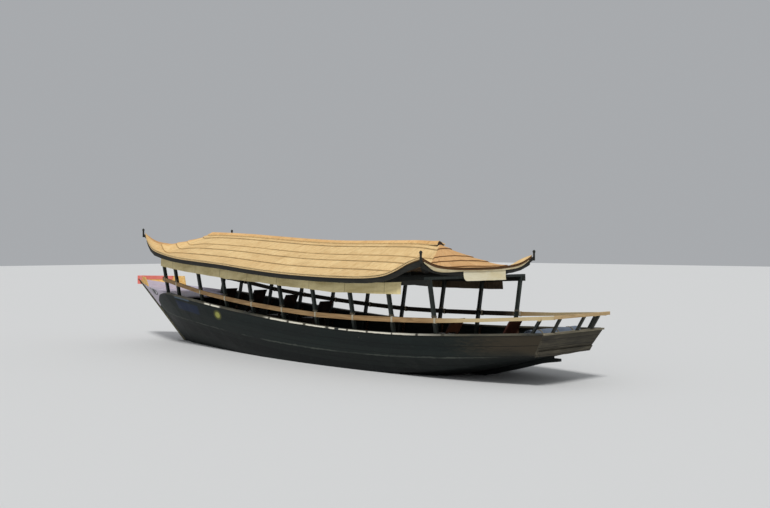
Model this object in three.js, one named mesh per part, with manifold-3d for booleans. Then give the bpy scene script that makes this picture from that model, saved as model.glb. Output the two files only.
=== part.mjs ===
import * as THREE from 'three';
import { mergeVertices } from 'three/addons/utils/BufferGeometryUtils.js';
import Module from 'manifold-3d';

// A wooden passenger sampan with a hipped mat roof, in millimetres, +Z up.
// x runs aft from amidships, y runs to starboard and z up from the waterline.

const wasm = await Module();
wasm.setup();

// Driving dimensions

const gap = 0.3;
const postXs = [4555, 3600, 2620, 1575, 545, -485, -1475, -2470, -3495, -4080];
const postsOnFloor = 9;
const postSize = 60;
const postFlare = 0.19;
const postInset = 150;
const plankThickness = 38;
const stemHalf = 45;
const floorTop = 360;
const floorThickness = 30;
const floorAftX = 5480;
const floorForeX = -3700;
const ribDepth = 52;
const ribWidth = 60;
const capThickness = 30;
const capWidth = 114;
const capForeX = -3900;
const cheekAftX = -5300;
const cheekTop = 1420;
const cheekThickness = 30;
const roofThickness = 35;
const roofSeam = 0.8;
const ridgeHalf = 15;
const railHeight = 85;
const railThickness = 32;
const railGap = -1.5;
const clothThickness = 8;

// Hull lines, one row a station from the transom to the stem, with z of the keel line and (half breadth, z)
// of the bottom's edge, the bilge, the side strake's lower edge and the sheer. rake is how far aft a point
// lies for each millimetre that it stands above the sheer.
const stations = [
  { x: 6570, rake: 0.65, keel: 478,
    bottom: [200, 482], bilge: [480, 495], strake: [745, 520], sheer: [820, 865] },
  { x: 5600, rake: 0.2, keel: 250,
    bottom: [350, 265], bilge: [730, 330], strake: [975, 440], sheer: [1062, 805] },
  { x: 4600, rake: 0, keel: 40,
    bottom: [540, 60], bilge: [930, 160], strake: [1140, 370], sheer: [1225, 757] },
  { x: 3600, rake: 0, keel: -130,
    bottom: [650, -110], bilge: [1030, 40], strake: [1200, 330], sheer: [1285, 724] },
  { x: 2400, rake: 0, keel: -240,
    bottom: [720, -220], bilge: [1080, -10], strake: [1215, 315], sheer: [1300, 724] },
  { x: 1000, rake: 0, keel: -285,
    bottom: [710, -265], bilge: [1060, -20], strake: [1190, 318], sheer: [1275, 775] },
  { x: -400, rake: 0, keel: -285,
    bottom: [630, -265], bilge: [950, 0], strake: [1110, 400], sheer: [1215, 865] },
  { x: -1800, rake: 0, keel: -258,
    bottom: [470, -240], bilge: [740, 50], strake: [985, 490], sheer: [1130, 975] },
  { x: -3000, rake: 0, keel: -208,
    bottom: [280, -190], bilge: [500, 100], strake: [820, 560], sheer: [1040, 1085] },
  { x: -4000, rake: -0.15, keel: -125,
    bottom: [165, -110], bilge: [340, 180], strake: [640, 630], sheer: [930, 1175] },
  { x: -5000, rake: -0.6, keel: -10,
    bottom: [95, 0], bilge: [200, 285], strake: [400, 700], sheer: [650, 1262] },
  { x: -5880, rake: -1.1, keel: 20,
    bottom: [60, 28], bilge: [90, 300], strake: [150, 740], sheer: [330, 1345] },
  { x: -6480, rake: -1.441, keel: 25,
    bottom: [stemHalf, 30], bilge: [stemHalf, 305], strake: [stemHalf, 770], sheer: [stemHalf, 1430] },
];
const stepsPerStation = 2;

// Roof ribs, one row a pair of points on the eave and on the ridge, from the stern to the bow. dip is the
// share of the hips' hollow.
const roofRows = [
  { eaveX: 4610, half: 1530, eaveZ: 2090, ridgeX: 3670, ridgeZ: 2305, dip: 1 },
  { eaveX: 4500, half: 1540, eaveZ: 2062, ridgeX: 3650, ridgeZ: 2307, dip: 0.9 },
  { eaveX: 4300, half: 1550, eaveZ: 1995, ridgeX: 3600, ridgeZ: 2312, dip: 0.75 },
  { eaveX: 4050, half: 1555, eaveZ: 1882, ridgeX: 3520, ridgeZ: 2322, dip: 0.55 },
  { eaveX: 3750, half: 1560, eaveZ: 1788, ridgeX: 3400, ridgeZ: 2335, dip: 0.35 },
  { eaveX: 3350, half: 1570, eaveZ: 1742, ridgeX: 3150, ridgeZ: 2346, dip: 0.2 },
  { eaveX: 2800, half: 1580, eaveZ: 1730, ridgeX: 2700, ridgeZ: 2346, dip: 0.12 },
  { eaveX: 2000, half: 1580, eaveZ: 1738, ridgeX: 2000, ridgeZ: 2344, dip: 0.1 },
  { eaveX: 1000, half: 1575, eaveZ: 1770, ridgeX: 1000, ridgeZ: 2349, dip: 0.1 },
  { eaveX: 0, half: 1550, eaveZ: 1833, ridgeX: 0, ridgeZ: 2388, dip: 0.1 },
  { eaveX: -1000, half: 1510, eaveZ: 1911, ridgeX: -1000, ridgeZ: 2445, dip: 0.1 },
  { eaveX: -1900, half: 1455, eaveZ: 1964, ridgeX: -1800, ridgeZ: 2492, dip: 0.12 },
  { eaveX: -2600, half: 1405, eaveZ: 2006, ridgeX: -2400, ridgeZ: 2520, dip: 0.16 },
  { eaveX: -3100, half: 1365, eaveZ: 2054, ridgeX: -2800, ridgeZ: 2536, dip: 0.25 },
  { eaveX: -3550, half: 1325, eaveZ: 2124, ridgeX: -3100, ridgeZ: 2545, dip: 0.45 },
  { eaveX: -3900, half: 1290, eaveZ: 2202, ridgeX: -3300, ridgeZ: 2550, dip: 0.7 },
  { eaveX: -4120, half: 1255, eaveZ: 2315, ridgeX: -3380, ridgeZ: 2552, dip: 0.88 },
  { eaveX: -4260, half: 1235, eaveZ: 2450, ridgeX: -3420, ridgeZ: 2553, dip: 0.97 },
  { eaveX: -4330, half: 1225, eaveZ: 2560, ridgeX: -3430, ridgeZ: 2553, dip: 1 },
];

// The hollow of a hip, as (share of the way from ridge to eave, drop)
const hollow = [
  [0, 0], [0.06, 45], [0.25, 147], [0.5, 228], [0.68, 264], [0.8, 240], [0.87, 198], [0.94, 105], [1, 0],
];

// The end eaves, as (share of the half breadth, share of the corner's rise above the middle, share of the
// hollow)
const endEave = [
  [1, 1, 1], [0.97, 0.88, 0.9], [0.92, 0.72, 0.75], [0.81, 0.42, 0.6], [0.65, 0.19, 0.45],
  [0.35, 0.03, 0.35], [0, 0, 0.3],
];
const sternEaveMiddle = 1882;
const bowEaveMiddle = 2290;

// Materials

const finish = {
  darkHull: new THREE.MeshStandardMaterial({ color: 0x1f2624, roughness: 0.7, metalness: 0 }),
  weatheredWood: new THREE.MeshStandardMaterial({ color: 0x4a4336, roughness: 0.85, metalness: 0 }),
  palePaint: new THREE.MeshStandardMaterial({ color: 0xbdb4c0, roughness: 0.6, metalness: 0 }),
  redPaint: new THREE.MeshStandardMaterial({ color: 0xd8665c, roughness: 0.55, metalness: 0 }),
  deckWood: new THREE.MeshStandardMaterial({ color: 0x8a6a48, roughness: 0.75, metalness: 0 }),
  railWood: new THREE.MeshStandardMaterial({ color: 0xb89a6c, roughness: 0.7, metalness: 0 }),
  darkFrame: new THREE.MeshStandardMaterial({ color: 0x272b24, roughness: 0.6, metalness: 0 }),
  redWood: new THREE.MeshStandardMaterial({ color: 0x5a2a20, roughness: 0.5, metalness: 0 }),
  mat: new THREE.MeshStandardMaterial({ color: 0xdeb87c, roughness: 0.9, metalness: 0 }),
  canvas: new THREE.MeshStandardMaterial({ color: 0xe0d6b4, roughness: 0.9, metalness: 0 }),
  tarpaulin: new THREE.MeshStandardMaterial({ color: 0x6e7e88, roughness: 0.6, metalness: 0 }),
  iron: new THREE.MeshStandardMaterial({ color: 0x3c3f40, roughness: 0.6, metalness: 0.8 }),
  brass: new THREE.MeshStandardMaterial({ color: 0xb08d4a, roughness: 0.4, metalness: 1 }),
};

const sampan = new THREE.Group();

function addPiece(name, geometry, material) {
  const piece = new THREE.Mesh(geometry, material);
  piece.name = name;
  sampan.add(piece);
  return piece;
}

// Shape helpers

function geometryFrom(points, faces) {
  let volume = 0;
  for (const [a, b, c] of faces) {
    const [p, q, r] = [points[a], points[b], points[c]];
    volume += p[0] * (q[1] * r[2] - q[2] * r[1]);
    volume += p[1] * (q[2] * r[0] - q[0] * r[2]);
    volume += p[2] * (q[0] * r[1] - q[1] * r[0]);
  }
  const outward = volume > 0 ? faces : faces.map(([a, b, c]) => [a, c, b]);
  const geometry = new THREE.BufferGeometry();
  geometry.setAttribute('position', new THREE.Float32BufferAttribute(points.flat(), 3));
  geometry.setIndex(outward.flat());
  geometry.computeVertexNormals();
  return geometry;
}

// A closed solid between an outer and an inner grid of points with the same rows and columns
function slab(outer, inner, ringed = false) {
  const rows = outer.length;
  const columns = outer[0].length;
  const points = [...outer.flat(), ...inner.flat()];
  const top = (i, j) => (i % rows) * columns + j;
  const under = (i, j) => rows * columns + (i % rows) * columns + j;
  const faces = [];
  const quad = (a, b, c, d) => faces.push([a, b, c], [a, c, d]);
  const lastRow = ringed ? rows : rows - 1;
  for (let i = 0; i < lastRow; i += 1) {
    for (let j = 0; j < columns - 1; j += 1) {
      quad(top(i, j), top(i + 1, j), top(i + 1, j + 1), top(i, j + 1));
      quad(under(i, j), under(i, j + 1), under(i + 1, j + 1), under(i + 1, j));
    }
    faces.push([top(i, 0), under(i, 0), under(i + 1, 0)], [top(i, 0), under(i + 1, 0), top(i + 1, 0)]);
    const last = columns - 1;
    faces.push([top(i, last), under(i + 1, last), under(i, last)]);
    faces.push([top(i, last), top(i + 1, last), under(i + 1, last)]);
  }
  if (!ringed) {
    for (let j = 0; j < columns - 1; j += 1) {
      quad(top(0, j), top(0, j + 1), under(0, j + 1), under(0, j));
      quad(top(rows - 1, j), under(rows - 1, j), under(rows - 1, j + 1), top(rows - 1, j + 1));
    }
  }
  return geometryFrom(points, faces);
}

// A bar of upright rectangular section along a path
function bar(path, width, height, ringed = false) {
  const outer = [];
  const inner = [];
  path.forEach(([x, y, z], i) => {
    const before = path[i > 0 ? i - 1 : (ringed ? path.length - 1 : 0)];
    const after = path[i < path.length - 1 ? i + 1 : (ringed ? 0 : i)];
    const along = new THREE.Vector2(after[0] - before[0], after[1] - before[1]).normalize();
    const side = [along.y * width / 2, -along.x * width / 2];
    outer.push([[x - side[0], y - side[1], z + height / 2], [x + side[0], y + side[1], z + height / 2]]);
    inner.push([[x - side[0], y - side[1], z - height / 2], [x + side[0], y + side[1], z - height / 2]]);
  });
  return slab(outer, inner, ringed);
}

// A flat outline of (y, z) points, extruded along x about a middle plane
function crossPiece(outline, x, thickness, holes = []) {
  const shape = new THREE.Shape(outline.map(([y, z]) => new THREE.Vector2(y, z)));
  for (const hole of holes) {
    shape.holes.push(new THREE.Path(hole.map(([y, z]) => new THREE.Vector2(y, z))));
  }
  const geometry = new THREE.ExtrudeGeometry(shape, { depth: thickness, bevelEnabled: false });
  const axes = new THREE.Matrix4().makeBasis(
    new THREE.Vector3(0, 1, 0), new THREE.Vector3(0, 0, 1), new THREE.Vector3(1, 0, 0));
  geometry.applyMatrix4(axes);
  geometry.translate(x - thickness / 2, 0, 0);
  return geometry;
}

// A flat outline of (x, z) points, extruded across the boat about a middle plane
function sidePiece(outline, y, thickness) {
  const shape = new THREE.Shape(outline.map(([x, z]) => new THREE.Vector2(x, z)));
  const geometry = new THREE.ExtrudeGeometry(shape, { depth: thickness, bevelEnabled: false });
  const axes = new THREE.Matrix4().makeBasis(
    new THREE.Vector3(1, 0, 0), new THREE.Vector3(0, 0, 1), new THREE.Vector3(0, -1, 0));
  geometry.applyMatrix4(axes);
  geometry.translate(0, y + thickness / 2, 0);
  return geometry;
}

function block(low, high) {
  const size = high.map((value, i) => value - low[i]);
  const geometry = new THREE.BoxGeometry(...size);
  geometry.translate(...low.map((value, i) => value + size[i] / 2));
  return geometry;
}

function toSolid(geometry) {
  const bare = geometry.clone();
  bare.deleteAttribute('normal');
  bare.deleteAttribute('uv');
  const merged = mergeVertices(bare, 0.001);
  return new wasm.Manifold(new wasm.Mesh({
    numProp: 3,
    vertProperties: new Float32Array(merged.attributes.position.array),
    triVerts: new Uint32Array(merged.index.array),
  }));
}

function fromSolid(solid) {
  const mesh = solid.getMesh();
  const geometry = new THREE.BufferGeometry();
  geometry.setAttribute('position', new THREE.BufferAttribute(mesh.vertProperties, 3));
  geometry.setIndex(new THREE.BufferAttribute(mesh.triVerts, 1));
  geometry.computeVertexNormals();
  return geometry;
}

function united(geometries) {
  return geometries.map(toSolid).reduce((whole, solid) => whole.add(solid));
}

function joined(geometries) {
  return fromSolid(united(geometries));
}

const mix = (a, b, t) => a + (b - a) * t;

// A value of a two-column table, whose first column falls
function between(table, x) {
  const i = Math.min(Math.max(table.findIndex((row) => row[0] <= x), 1), table.length - 1);
  const [a, b] = [table[i - 1], table[i]];
  return mix(a[1], b[1], (x - a[0]) / (b[0] - a[0]));
}

// A smooth value between four neighbours of a table column
function smooth(before, a, b, after, t) {
  const squared = t * t;
  const slopeA = (b - before) / 2;
  const slopeB = (after - a) / 2;
  const cubed = squared * t;
  return a * (2 * cubed - 3 * squared + 1) + slopeA * (cubed - 2 * squared + t)
    + b * (3 * squared - 2 * cubed) + slopeB * (cubed - squared);
}

// Hull sections

function tableValue(read, s) {
  const last = stations.length - 1;
  const i = Math.min(Math.floor(s), last - 1);
  const before = read(stations[Math.max(i - 1, 0)]);
  const after = read(stations[Math.min(i + 2, last)]);
  return smooth(before, read(stations[i]), read(stations[i + 1]), after, s - i);
}

// Outer points of the section at station s, on the starboard side, from the keel line up to the sheer
function sectionAt(s) {
  const x = tableValue((row) => row.x, s);
  const rake = tableValue((row) => row.rake, s);
  const sheer = [tableValue((row) => row.sheer[0], s), tableValue((row) => row.sheer[1], s)];
  const corner = (line) => [0, 1].map((part) => tableValue((row) => row[line][part], s));
  const keel = [0, tableValue((row) => row.keel, s)];
  const flat = [keel, corner('bottom'), corner('bilge'), corner('strake'), sheer];
  return { x, rake, sheer, flat, at: ([y, z]) => [x + rake * (z - sheer[1]), y, z] };
}

// The same section moved inward by a depth, square to each plank
function insetSection(section, depth) {
  const flat = section.flat;
  const normals = [];
  for (let j = 0; j < flat.length - 1; j += 1) {
    const run = new THREE.Vector2(flat[j + 1][0] - flat[j][0], flat[j + 1][1] - flat[j][1]).normalize();
    normals.push([-run.y, run.x]);
  }
  return flat.map(([y, z], j) => {
    if (j === 0) {
      return [0, z + depth];
    }
    if (j === flat.length - 1) {
      return [Math.max(y + normals[j - 1][0] * depth, stemHalf - plankThickness), z];
    }
    const [a, b] = [normals[j - 1], normals[j]];
    const share = depth / (1 + a[0] * b[0] + a[1] * b[1]);
    return [Math.max(y + (a[0] + b[0]) * share, stemHalf - plankThickness), z + (a[1] + b[1]) * share];
  });
}

const stationSteps = [];
for (let i = 0; i <= (stations.length - 1) * stepsPerStation; i += 1) {
  stationSteps.push(i / stepsPerStation);
}

function stationOf(x) {
  let low = 0;
  let high = stations.length - 1;
  for (let i = 0; i < 40; i += 1) {
    const middle = (low + high) / 2;
    if (tableValue((row) => row.x, middle) > x) {
      low = middle;
    } else {
      high = middle;
    }
  }
  return low;
}

// Section as planked, which runs straight between the stations that the planks are drawn through
function plankedSection(x) {
  const s = stationOf(x);
  const low = Math.floor(s * stepsPerStation) / stepsPerStation;
  const high = Math.min(low + 1 / stepsPerStation, stations.length - 1);
  const [a, b] = [sectionAt(low), sectionAt(high)];
  const t = (x - a.x) / (b.x - a.x);
  const flat = a.flat.map((corner, j) => [mix(corner[0], b.flat[j][0], t), mix(corner[1], b.flat[j][1], t)]);
  return { x, flat, sheer: flat[flat.length - 1], rake: mix(a.rake, b.rake, t) };
}

// Half breadth of the inset section at a height
function halfAt(x, z, depth) {
  const inset = insetSection(plankedSection(x), depth);
  for (let j = 1; j < inset.length - 1; j += 1) {
    const [low, high] = [inset[j], inset[j + 1]];
    if (z <= high[1]) {
      return mix(low[0], high[0], (z - low[1]) / (high[1] - low[1]));
    }
  }
  return inset[inset.length - 1][0];
}

// Planking

// A plank between two lines of the section, on one side; the joints to its neighbours stay open by the gap
function plank(side, lowLine, highLine) {
  const outer = [];
  const inner = [];
  for (const s of stationSteps) {
    const section = sectionAt(s);
    const inset = insetSection(section, plankThickness);
    const row = [];
    const insetRow = [];
    for (let j = lowLine; j <= highLine; j += 1) {
      const open = j === 0 ? 0 : gap / 2;
      const shift = (j === lowLine ? open : 0) - (j === highLine ? gap / 2 : 0);
      const neighbour = j === lowLine ? j + 1 : j - 1;
      const towards = j === lowLine ? 1 : -1;
      const run = new THREE.Vector2(
        (section.flat[neighbour][0] - section.flat[j][0]) * towards,
        (section.flat[neighbour][1] - section.flat[j][1]) * towards).normalize();
      const move = ([y, z]) => [y + run.x * shift, z + run.y * shift];
      const place = ([y, z]) => {
        const [px, py, pz] = section.at([y, z]);
        return [px, side * py, pz];
      };
      row.push(place(move(section.flat[j])));
      insetRow.push(place(move(inset[j])));
    }
    outer.push(row);
    inner.push(insetRow);
  }
  return slab(outer, inner);
}

const sides = [['Port', -1], ['Starboard', 1]];
addPiece('BottomPlanking', joined([plank(-1, 0, 1), plank(1, 0, 1)]), finish.darkHull);
for (const [sideName, side] of sides) {
  addPiece(`BilgePlanking${sideName}`, plank(side, 1, 3), finish.darkHull);
  addPiece(`SideStrake${sideName}`, plank(side, 3, 4), finish.darkHull);
}

// Keel, deadwood and heel

const keelDepth = 78;
const keelWidth = 90;
const sternPostX = 6180;
const heelEndX = 6320;
const heelTop = 408;
const heelFoot = 362;
const stem = stations[stations.length - 1];
const stemX = (z) => stem.x + stem.rake * (z - stem.sheer[1]);
const keelForeX = stemX(stem.keel) + gap;
const forefootZ = -36;

function keelOutline() {
  const upper = [];
  const lower = [];
  for (const s of stationSteps) {
    const section = sectionAt(s);
    const [x, , z] = section.at(section.flat[0]);
    if (x < sternPostX && x > keelForeX) {
      upper.push([x, z - gap]);
      lower.push([x, z - keelDepth]);
    }
  }
  const sternTop = plankedKeelAt(sternPostX) - gap;
  const foreTop = plankedKeelAt(keelForeX) - gap;
  return [
    [sternPostX, sternTop], ...upper, [keelForeX, foreTop], [keelForeX, forefootZ],
    ...lower.reverse(), [sternPostX - 60, heelFoot - 30], [heelEndX, heelFoot], [heelEndX, heelTop],
    [sternPostX, heelTop],
  ];
}

function plankedKeelAt(x) {
  for (let i = 0; i < stationSteps.length - 1; i += 1) {
    const [a, b] = [sectionAt(stationSteps[i]), sectionAt(stationSteps[i + 1])];
    const [ax, , az] = a.at(a.flat[0]);
    const [bx, , bz] = b.at(b.flat[0]);
    if (x <= ax && x >= bx) {
      return mix(az, bz, (x - ax) / (bx - ax));
    }
  }
  return stations[0].keel;
}

addPiece('KeelAndHeel', sidePiece(keelOutline(), 0, keelWidth), finish.darkHull);

// Stem board, along the raked ends of the planks

const stemDepth = 92;
const stemTopZ = stem.sheer[1];
const stemCutX = stemX(stemTopZ) - 60;

function stemOutline() {
  const face = gap * 2;
  const foreX = (z) => stemX(z) - face - stemDepth;
  const cutZ = stemTopZ - (foreX(stemTopZ) - stemCutX) / stem.rake;
  return [
    [stemX(stem.keel) - face, stem.keel], [stemX(stemTopZ) - face, stemTopZ], [stemCutX, stemTopZ],
    [stemCutX, cutZ], [foreX(stem.keel), stem.keel], [stemX(stem.keel) - face, forefootZ],
  ];
}

addPiece('StemBoard', sidePiece(stemOutline(), 0, stemHalf * 2), finish.weatheredWood);

// Transom, with a batten along its foot

const transomThickness = 42;
const transomBatten = { low: 500, high: 590, depth: 26 };

function transomBoard() {
  const section = sectionAt(0);
  const outer = [];
  const inner = [];
  for (const corner of section.flat.slice(1)) {
    const [x, y, z] = section.at(corner);
    inner.push([[x + gap, -y, z], [x + gap, y, z]]);
    outer.push([[x + gap + transomThickness, -y, z], [x + gap + transomThickness, y, z]]);
  }
  return slab(outer, inner);
}

function transomFoot() {
  const section = sectionAt(0);
  const face = (z, depth) => section.at([0, z])[0] + gap + transomThickness + depth;
  const half = mix(stations[0].strake[0], stations[0].sheer[0], 0.1);
  const outer = [transomBatten.low, transomBatten.high].map((z) => [
    [face(z, transomBatten.depth), -half, z], [face(z, transomBatten.depth), half, z]]);
  const inner = [transomBatten.low, transomBatten.high].map((z) => [
    [face(z, -10), -half, z], [face(z, -10), half, z]]);
  return slab(outer, inner);
}

addPiece('Transom', joined([transomBoard(), transomFoot()]), finish.weatheredWood);

// Gunwale caps and the transom's cap

function gunwaleCap(side) {
  const outer = [];
  const inner = [];
  for (const s of stationSteps) {
    const section = sectionAt(s);
    const x = section.x;
    if (x > capForeX + 20) {
      const rim = section.sheer[0] + 10;
      const z = section.sheer[1] + gap;
      const across = (height) => [[x, side * rim, z + height], [x, side * (rim - capWidth), z + height]];
      outer.push(across(capThickness));
      inner.push(across(0));
    }
  }
  const end = plankedSection(capForeX + 10);
  const rim = end.sheer[0] + 10;
  const z = end.sheer[1] + gap;
  const across = (height) => [[end.x, side * rim, z + height], [end.x, side * (rim - capWidth), z + height]];
  outer.push(across(capThickness));
  inner.push(across(0));
  return slab(outer, inner);
}

for (const [sideName, side] of sides) {
  addPiece(`GunwaleCap${sideName}`, gunwaleCap(side), finish.darkHull);
}

const transomCapThickness = 28;
const transomCapWidth = 75;

function transomCap() {
  const half = stations[0].sheer[0];
  const z = stations[0].sheer[1] + gap;
  const x = stations[0].x + gap;
  return block([x, -half, z], [x + transomCapWidth, half, z + transomCapThickness]);
}

addPiece('TransomCap', transomCap(), finish.weatheredWood);

// Prow cheeks on the sheer beside the stem, and the painted caps on their fore part

const cheekFlare = 0.12;
const cheekCapAftX = -5610;
const cheekStepX = cheekCapAftX + 1;
const cheekCapHeight = 90;
const cheekCapOverhang = 12;
const cheekStepLength = 12;

// Rows of a cheek, from its aft end to the stem; its aft part stands as high as the cap's top
function cheekRows() {
  const xs = [cheekAftX, cheekCapAftX + cheekStepLength, cheekCapAftX];
  const sections = xs.map(plankedSection);
  for (const s of stationSteps) {
    const section = sectionAt(s);
    if (section.x < cheekCapAftX - 50) {
      sections.push(section);
    }
  }
  return sections.map(({ x, rake, sheer: [half, z] }) => {
    const top = x > cheekStepX ? cheekTop + cheekCapHeight : cheekTop;
    const rise = Math.max(top - z, gap * 4);
    const flare = half > stemHalf ? cheekFlare : 0;
    const topX = x + rake * Math.min(rise, Math.max(cheekTop - z, 0));
    return { x, half, z: z + gap, top: z + rise, topX, topHalf: half + flare * rise };
  });
}

function cheek(side) {
  const faces = [0, cheekThickness].map((depth) => cheekRows().map((row) => [
    [row.x, side * (row.half - depth), row.z], [row.topX, side * (row.topHalf - depth), row.top]]));
  return slab(...faces);
}

function cheekCap(side) {
  const rows = cheekRows().filter(({ x }) => x < cheekStepX);
  const line = (row, out) => {
    const y = out ? row.topHalf + cheekCapOverhang : row.topHalf - cheekThickness - cheekCapOverhang;
    return [[row.topX, side * y, row.top + gap], [row.topX, side * y, cheekTop + cheekCapHeight]];
  };
  return slab(rows.map((row) => line(row, true)), rows.map((row) => line(row, false)));
}

for (const [sideName, side] of sides) {
  addPiece(`ProwCheek${sideName}`, cheek(side), finish.railWood);
  addPiece(`ProwCheekCap${sideName}`, cheekCap(side), finish.redPaint);
}

// Stem head, a wedge on the face of the stem board

const stemHead = { foreX: stemCutX - 22, half: 63, foot: 1300, top: cheekTop + cheekCapHeight };

function stemHeadOutline() {
  const aft = cheekRows().at(-1).topX - gap;
  const face = (z) => stemX(z) - gap * 4 - stemDepth;
  const cutZ = stemTopZ + (stemCutX - face(stemTopZ)) / stem.rake;
  return [
    [stemHead.foreX, stemHead.foot], [face(stemHead.foot), stemHead.foot], [stemCutX - gap, cutZ],
    [stemCutX - gap, stemTopZ + gap], [aft, stemTopZ + gap],
    [aft, stemHead.top], [stemHead.foreX, stemHead.top],
  ];
}

addPiece('StemHead', sidePiece(stemHeadOutline(), 0, stemHead.half * 2), finish.redPaint);

// Ribs, floor bearers and keelson

const ribClear = plankThickness + 1.5;
const bearerDepth = 60;
const keelsonHeight = 70;
const keelsonRise = 8;

// The space inside the hull at a depth in from its outer face, up to a lid
function hullSpace(depth, lid) {
  return united(sides.map(([, side]) => {
    const lower = [];
    const upper = [];
    for (const step of stationSteps) {
      const section = sectionAt(step);
      const row = insetSection(section, depth).map(([y, z]) => {
        const [x, , height] = section.at([y, z]);
        return [x, side * y, height];
      });
      const lidZ = lid(section);
      lower.push(row);
      upper.push(row.map(([x, y, z]) => [x, y, Math.max(lidZ, z)]));
    }
    return slab(lower, upper);
  }));
}

const skyZ = 2700;
const toSky = () => skyZ;
const withinPlanks = hullSpace(plankThickness + gap, toSky);
const withinRibs = hullSpace(ribClear + ribDepth + gap, toSky);

function ribRing() {
  return hullSpace(ribClear, (section) => section.sheer[1] - 1)
    .subtract(hullSpace(ribClear + ribDepth, toSky));
}

function ribSlice(x) {
  return toSolid(block([x - ribWidth / 2, -2000, -1000], [x + ribWidth / 2, 2000, 2000]));
}

function bearer(x) {
  const top = floorTop - floorThickness - gap;
  const half = halfAt(x, top, ribClear) - ribDepth / 2;
  return block([x - ribWidth / 2 + 5, -half, top - bearerDepth], [x + ribWidth / 2 - 5, half, top]);
}

function keelson() {
  const path = [];
  const steps = 22;
  for (let i = 0; i <= steps; i += 1) {
    const x = mix(postXs[0] + 105, postXs[postXs.length - 1] - 60, i / steps);
    path.push([x, 0, plankedKeelAt(x) + ribClear + keelsonRise + keelsonHeight / 2]);
  }
  return bar(path, 110, keelsonHeight);
}

function ribsAndBearers() {
  const ring = ribRing();
  const ribs = postXs.map((x) => ring.intersect(ribSlice(x)));
  const inner = united([...postXs.slice(0, postsOnFloor).map(bearer), keelson()]).intersect(
    hullSpace(ribClear, toSky));
  const whole = ribs.reduce((sum, solid) => sum.add(solid), inner);
  return fromSolid(whole.subtract(foreDeckRoom()));
}

// Floor boards, foredeck and aft deck

function deckSlab(fromX, toX, steps, height, thickness, space) {
  const outer = [];
  const inner = [];
  for (let i = 0; i <= steps; i += 1) {
    const x = mix(fromX, toX, i / steps);
    const z = height(x);
    outer.push([[x, -1600, z], [x, 1600, z]]);
    inner.push([[x, -1600, z - thickness], [x, 1600, z - thickness]]);
  }
  const sheet = toSolid(slab(outer, inner));
  return space ? fromSolid(sheet.intersect(space)) : sheet;
}

const foreDeckDrop = 70;
const foreDeckForeX = -6000;
const aftDeckTop = 660;
const aftDeckForeX = 5560;
const aftDeckAftX = 6330;
const sheerZ = (x) => plankedSection(x).sheer[1];
const foreDeckTop = (x) => sheerZ(x) - foreDeckDrop;

const deckThickness = 28;
const deckRoom = 400;
const foreDeckRoom = () => deckSlab(floorForeX - 60, foreDeckForeX, 8,
  (x) => foreDeckTop(x) + deckRoom, deckRoom + deckThickness + gap);

addPiece('RibsAndBearers', ribsAndBearers(), finish.redWood);
addPiece('FloorBoards',
  deckSlab(floorAftX, floorForeX, 1, () => floorTop, floorThickness, withinRibs), finish.deckWood);
addPiece('ForeDeck',
  deckSlab(floorForeX - 60, foreDeckForeX, 8, foreDeckTop, deckThickness, withinPlanks), finish.palePaint);
addPiece('AftDeck',
  deckSlab(aftDeckAftX, aftDeckForeX, 1, () => aftDeckTop, deckThickness, withinPlanks), finish.deckWood);

// Roof slopes

function hollowAt(share) {
  for (let i = 1; i < hollow.length; i += 1) {
    if (share <= hollow[i][0]) {
      const [a, b] = [hollow[i - 1], hollow[i]];
      return mix(a[1], b[1], (share - a[0]) / (b[0] - a[0]));
    }
  }
  return 0;
}

function sideSlopePoint(row, share, side) {
  const x = mix(row.ridgeX, row.eaveX, share);
  const y = side * mix(ridgeHalf, row.half, share);
  const z = mix(row.ridgeZ, row.eaveZ, share) - hollowAt(share) * row.dip;
  return [x, y, z];
}

function endSlopePoint(corner, middleZ, [breadth, rise, dip], side, share, shift) {
  const ridgeY = side * ridgeHalf * breadth;
  const eaveZ = mix(middleZ, corner.eaveZ, rise);
  return [
    mix(corner.ridgeX, corner.eaveX, share) + shift,
    mix(ridgeY, side * corner.half * breadth, share),
    mix(corner.ridgeZ, eaveZ, share) - hollowAt(share) * dip,
  ];
}

const lowered = (grid, drop) => grid.map((row) => row.map(([x, y, z]) => [x, y, z - drop]));
const shares = hollow.map(([share]) => share);

function sideGrid(side) {
  return roofRows.map((row) => shares.map((share) => sideSlopePoint(row, share, side)));
}

function endGrid(corner, middleZ, shift) {
  const line = (column, side) => shares.map(
    (share) => endSlopePoint(corner, middleZ, column, side, share, shift));
  const port = endEave.map((column) => line(column, -1));
  const starboard = endEave.slice(0, -1).reverse().map((column) => line(column, 1));
  return [...port, ...starboard];
}

const sternCorner = roofRows[0];
const bowCorner = roofRows[roofRows.length - 1];
const roofGrids = [
  ['RoofSlopePort', sideGrid(-1)],
  ['RoofSlopeStarboard', sideGrid(1)],
  ['RoofSlopeStern', endGrid(sternCorner, sternEaveMiddle, roofSeam)],
  ['RoofSlopeBow', endGrid(bowCorner, bowEaveMiddle, -roofSeam)],
];
for (const [name, grid] of roofGrids) {
  addPiece(name, slab(grid, lowered(grid, roofThickness)), finish.mat);
}

// The roof and the space above it, which the frame under it keeps out of
const zoneMargin = 0.5;

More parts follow.
